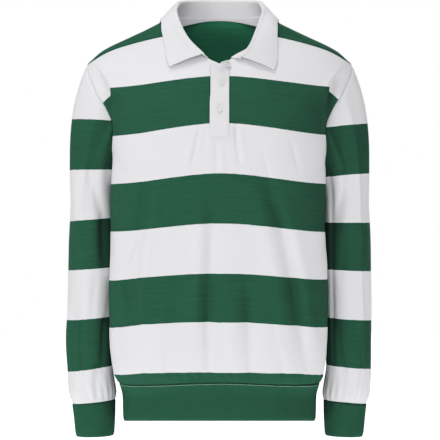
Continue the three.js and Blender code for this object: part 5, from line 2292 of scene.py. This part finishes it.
@dataclass
class Studio:
    """Pale floor, soft light and the camera at the photo's angle.

    The film gives how light each level of light is shown, as on a camera's tone curve.
    """

    floor_level: float = -0.80
    floor_size: float = 4.0
    floor_glow: float = 0.72
    distance: float = 3.2
    eye_level: float = -0.357
    frame_width: float = 0.770
    ambient: float = 0.17
    sensor: float = 36.0
    film: tuple = (
        (0.03, 0.015),
        (0.06, 0.037),
        (0.085, 0.067),
        (0.11, 0.108),
        (0.14, 0.147),
        (0.25, 0.28),
        (0.65, 0.68),
        (0.8, 0.8),
    )
    lights: tuple = (
        Softbox("key", (-2.7, -2.1, 0.9), 1.3, 23.0),
        Softbox("front", (-0.1, -3.8, 0.9), 1.8, 31.0),
        Softbox("top", (-0.3, -0.5, 2.0), 1.0, 34.0),
        Softbox("fill", (2.6, -2.6, 0.3), 2.2, 5.0),
        Softbox("back", (1.2, 3.4, 1.2), 2.2, 58.0),
    )

    def build(self) -> None:
        """Sets up everything around the shirt."""
        self.lay_floor()
        for light in self.lights:
            light.hang(Vector((0, 0, self.eye_level)))
        self.light_world()
        self.load_film()
        self.place_camera()

    def lay_floor(self) -> None:
        """Lays the floor, which glows slightly."""
        bm = bmesh.new()
        bmesh.ops.create_grid(bm, x_segments=1, y_segments=1, size=self.floor_size)
        bmesh.ops.translate(bm, verts=bm.verts, vec=(0, 0, self.floor_level))
        mesh = finished_mesh("floor", bm)
        paper = bpy.data.materials.new("pale_floor")
        paper.use_nodes = True
        shader = paper.node_tree.nodes["Principled BSDF"]
        shader.inputs["Base Color"].default_value = (0.93, 0.93, 0.93, 1)
        shader.inputs["Roughness"].default_value = 0.9
        shader.inputs["Emission Color"].default_value = (1, 1, 1, 1)
        shader.inputs["Emission Strength"].default_value = self.floor_glow
        mesh.materials.append(paper)
        link("floor", mesh)

    def light_world(self) -> None:
        """A white surround that lights the shirt softly."""
        scene = bpy.context.scene
        scene.world = scene.world or bpy.data.worlds.new("surround")
        scene.world.use_nodes = True
        nodes = Nodes(scene.world.node_tree)
        seen = nodes.add("Background", {"Color": (1, 1, 1, 1), "Strength": 1.0}).outputs[0]
        lit = nodes.add("Background", {"Color": (0.98, 0.99, 1, 1), "Strength": self.ambient}).outputs[0]
        direct = nodes.add("LightPath").outputs["Is Camera Ray"]
        both = nodes.add("MixShader", {0: direct, 1: lit, 2: seen}).outputs[0]
        nodes.add("OutputWorld", {"Surface": both})

    def load_film(self) -> None:
        """Sets how levels of light turn into the picture's tones."""
        view = bpy.context.scene.view_settings
        view.view_transform = "Standard"
        view.look = "None"
        view.use_curve_mapping = True
        response = view.curve_mapping.curves[COMBINED]
        for level, shown in self.film:
            response.points.new(level, shown)
        view.curve_mapping.update()

    def place_camera(self) -> None:
        """Adds the camera."""
        data = bpy.data.cameras.new("camera")
        data.sensor_width = self.sensor
        data.lens = self.sensor * self.distance / self.frame_width
        data.clip_end = 50
        camera = link("camera", data)
        camera.location = (0.0009, -self.distance, self.eye_level)
        camera.rotation_euler = (math.pi / 2, 0, 0)
        bpy.context.scene.camera = camera


def main() -> None:
    """Builds the shirt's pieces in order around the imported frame."""
    logging.basicConfig(level=logging.INFO, format="%(name)s %(message)s")
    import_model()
    form = ShirtForm()
    finishes = Finishes()
    panels = Panels(form, finishes)
    panels.make_front()
    panels.make_back()
    sleeves = Sleeves(form, finishes)
    ribs = Ribs(form, finishes)
    for arm in Arm:
        sleeves.make(arm)
        ribs.make_cuff(arm)
    ribs.make_hem()
    ribs.sew_seams()
    collar = Collar(form, finishes)
    collar.make()
    collar.sew_edge()
    collar.make_tape()
    placket = Placket(form, finishes)
    placket.make_strips()
    placket.sew_strips()
    for name, across, v in BUTTONS:
        placket.make_button(name, across, v)
        placket.sew_button(name, across, v)
    Studio().build()


if __name__ == "__main__":
    main()
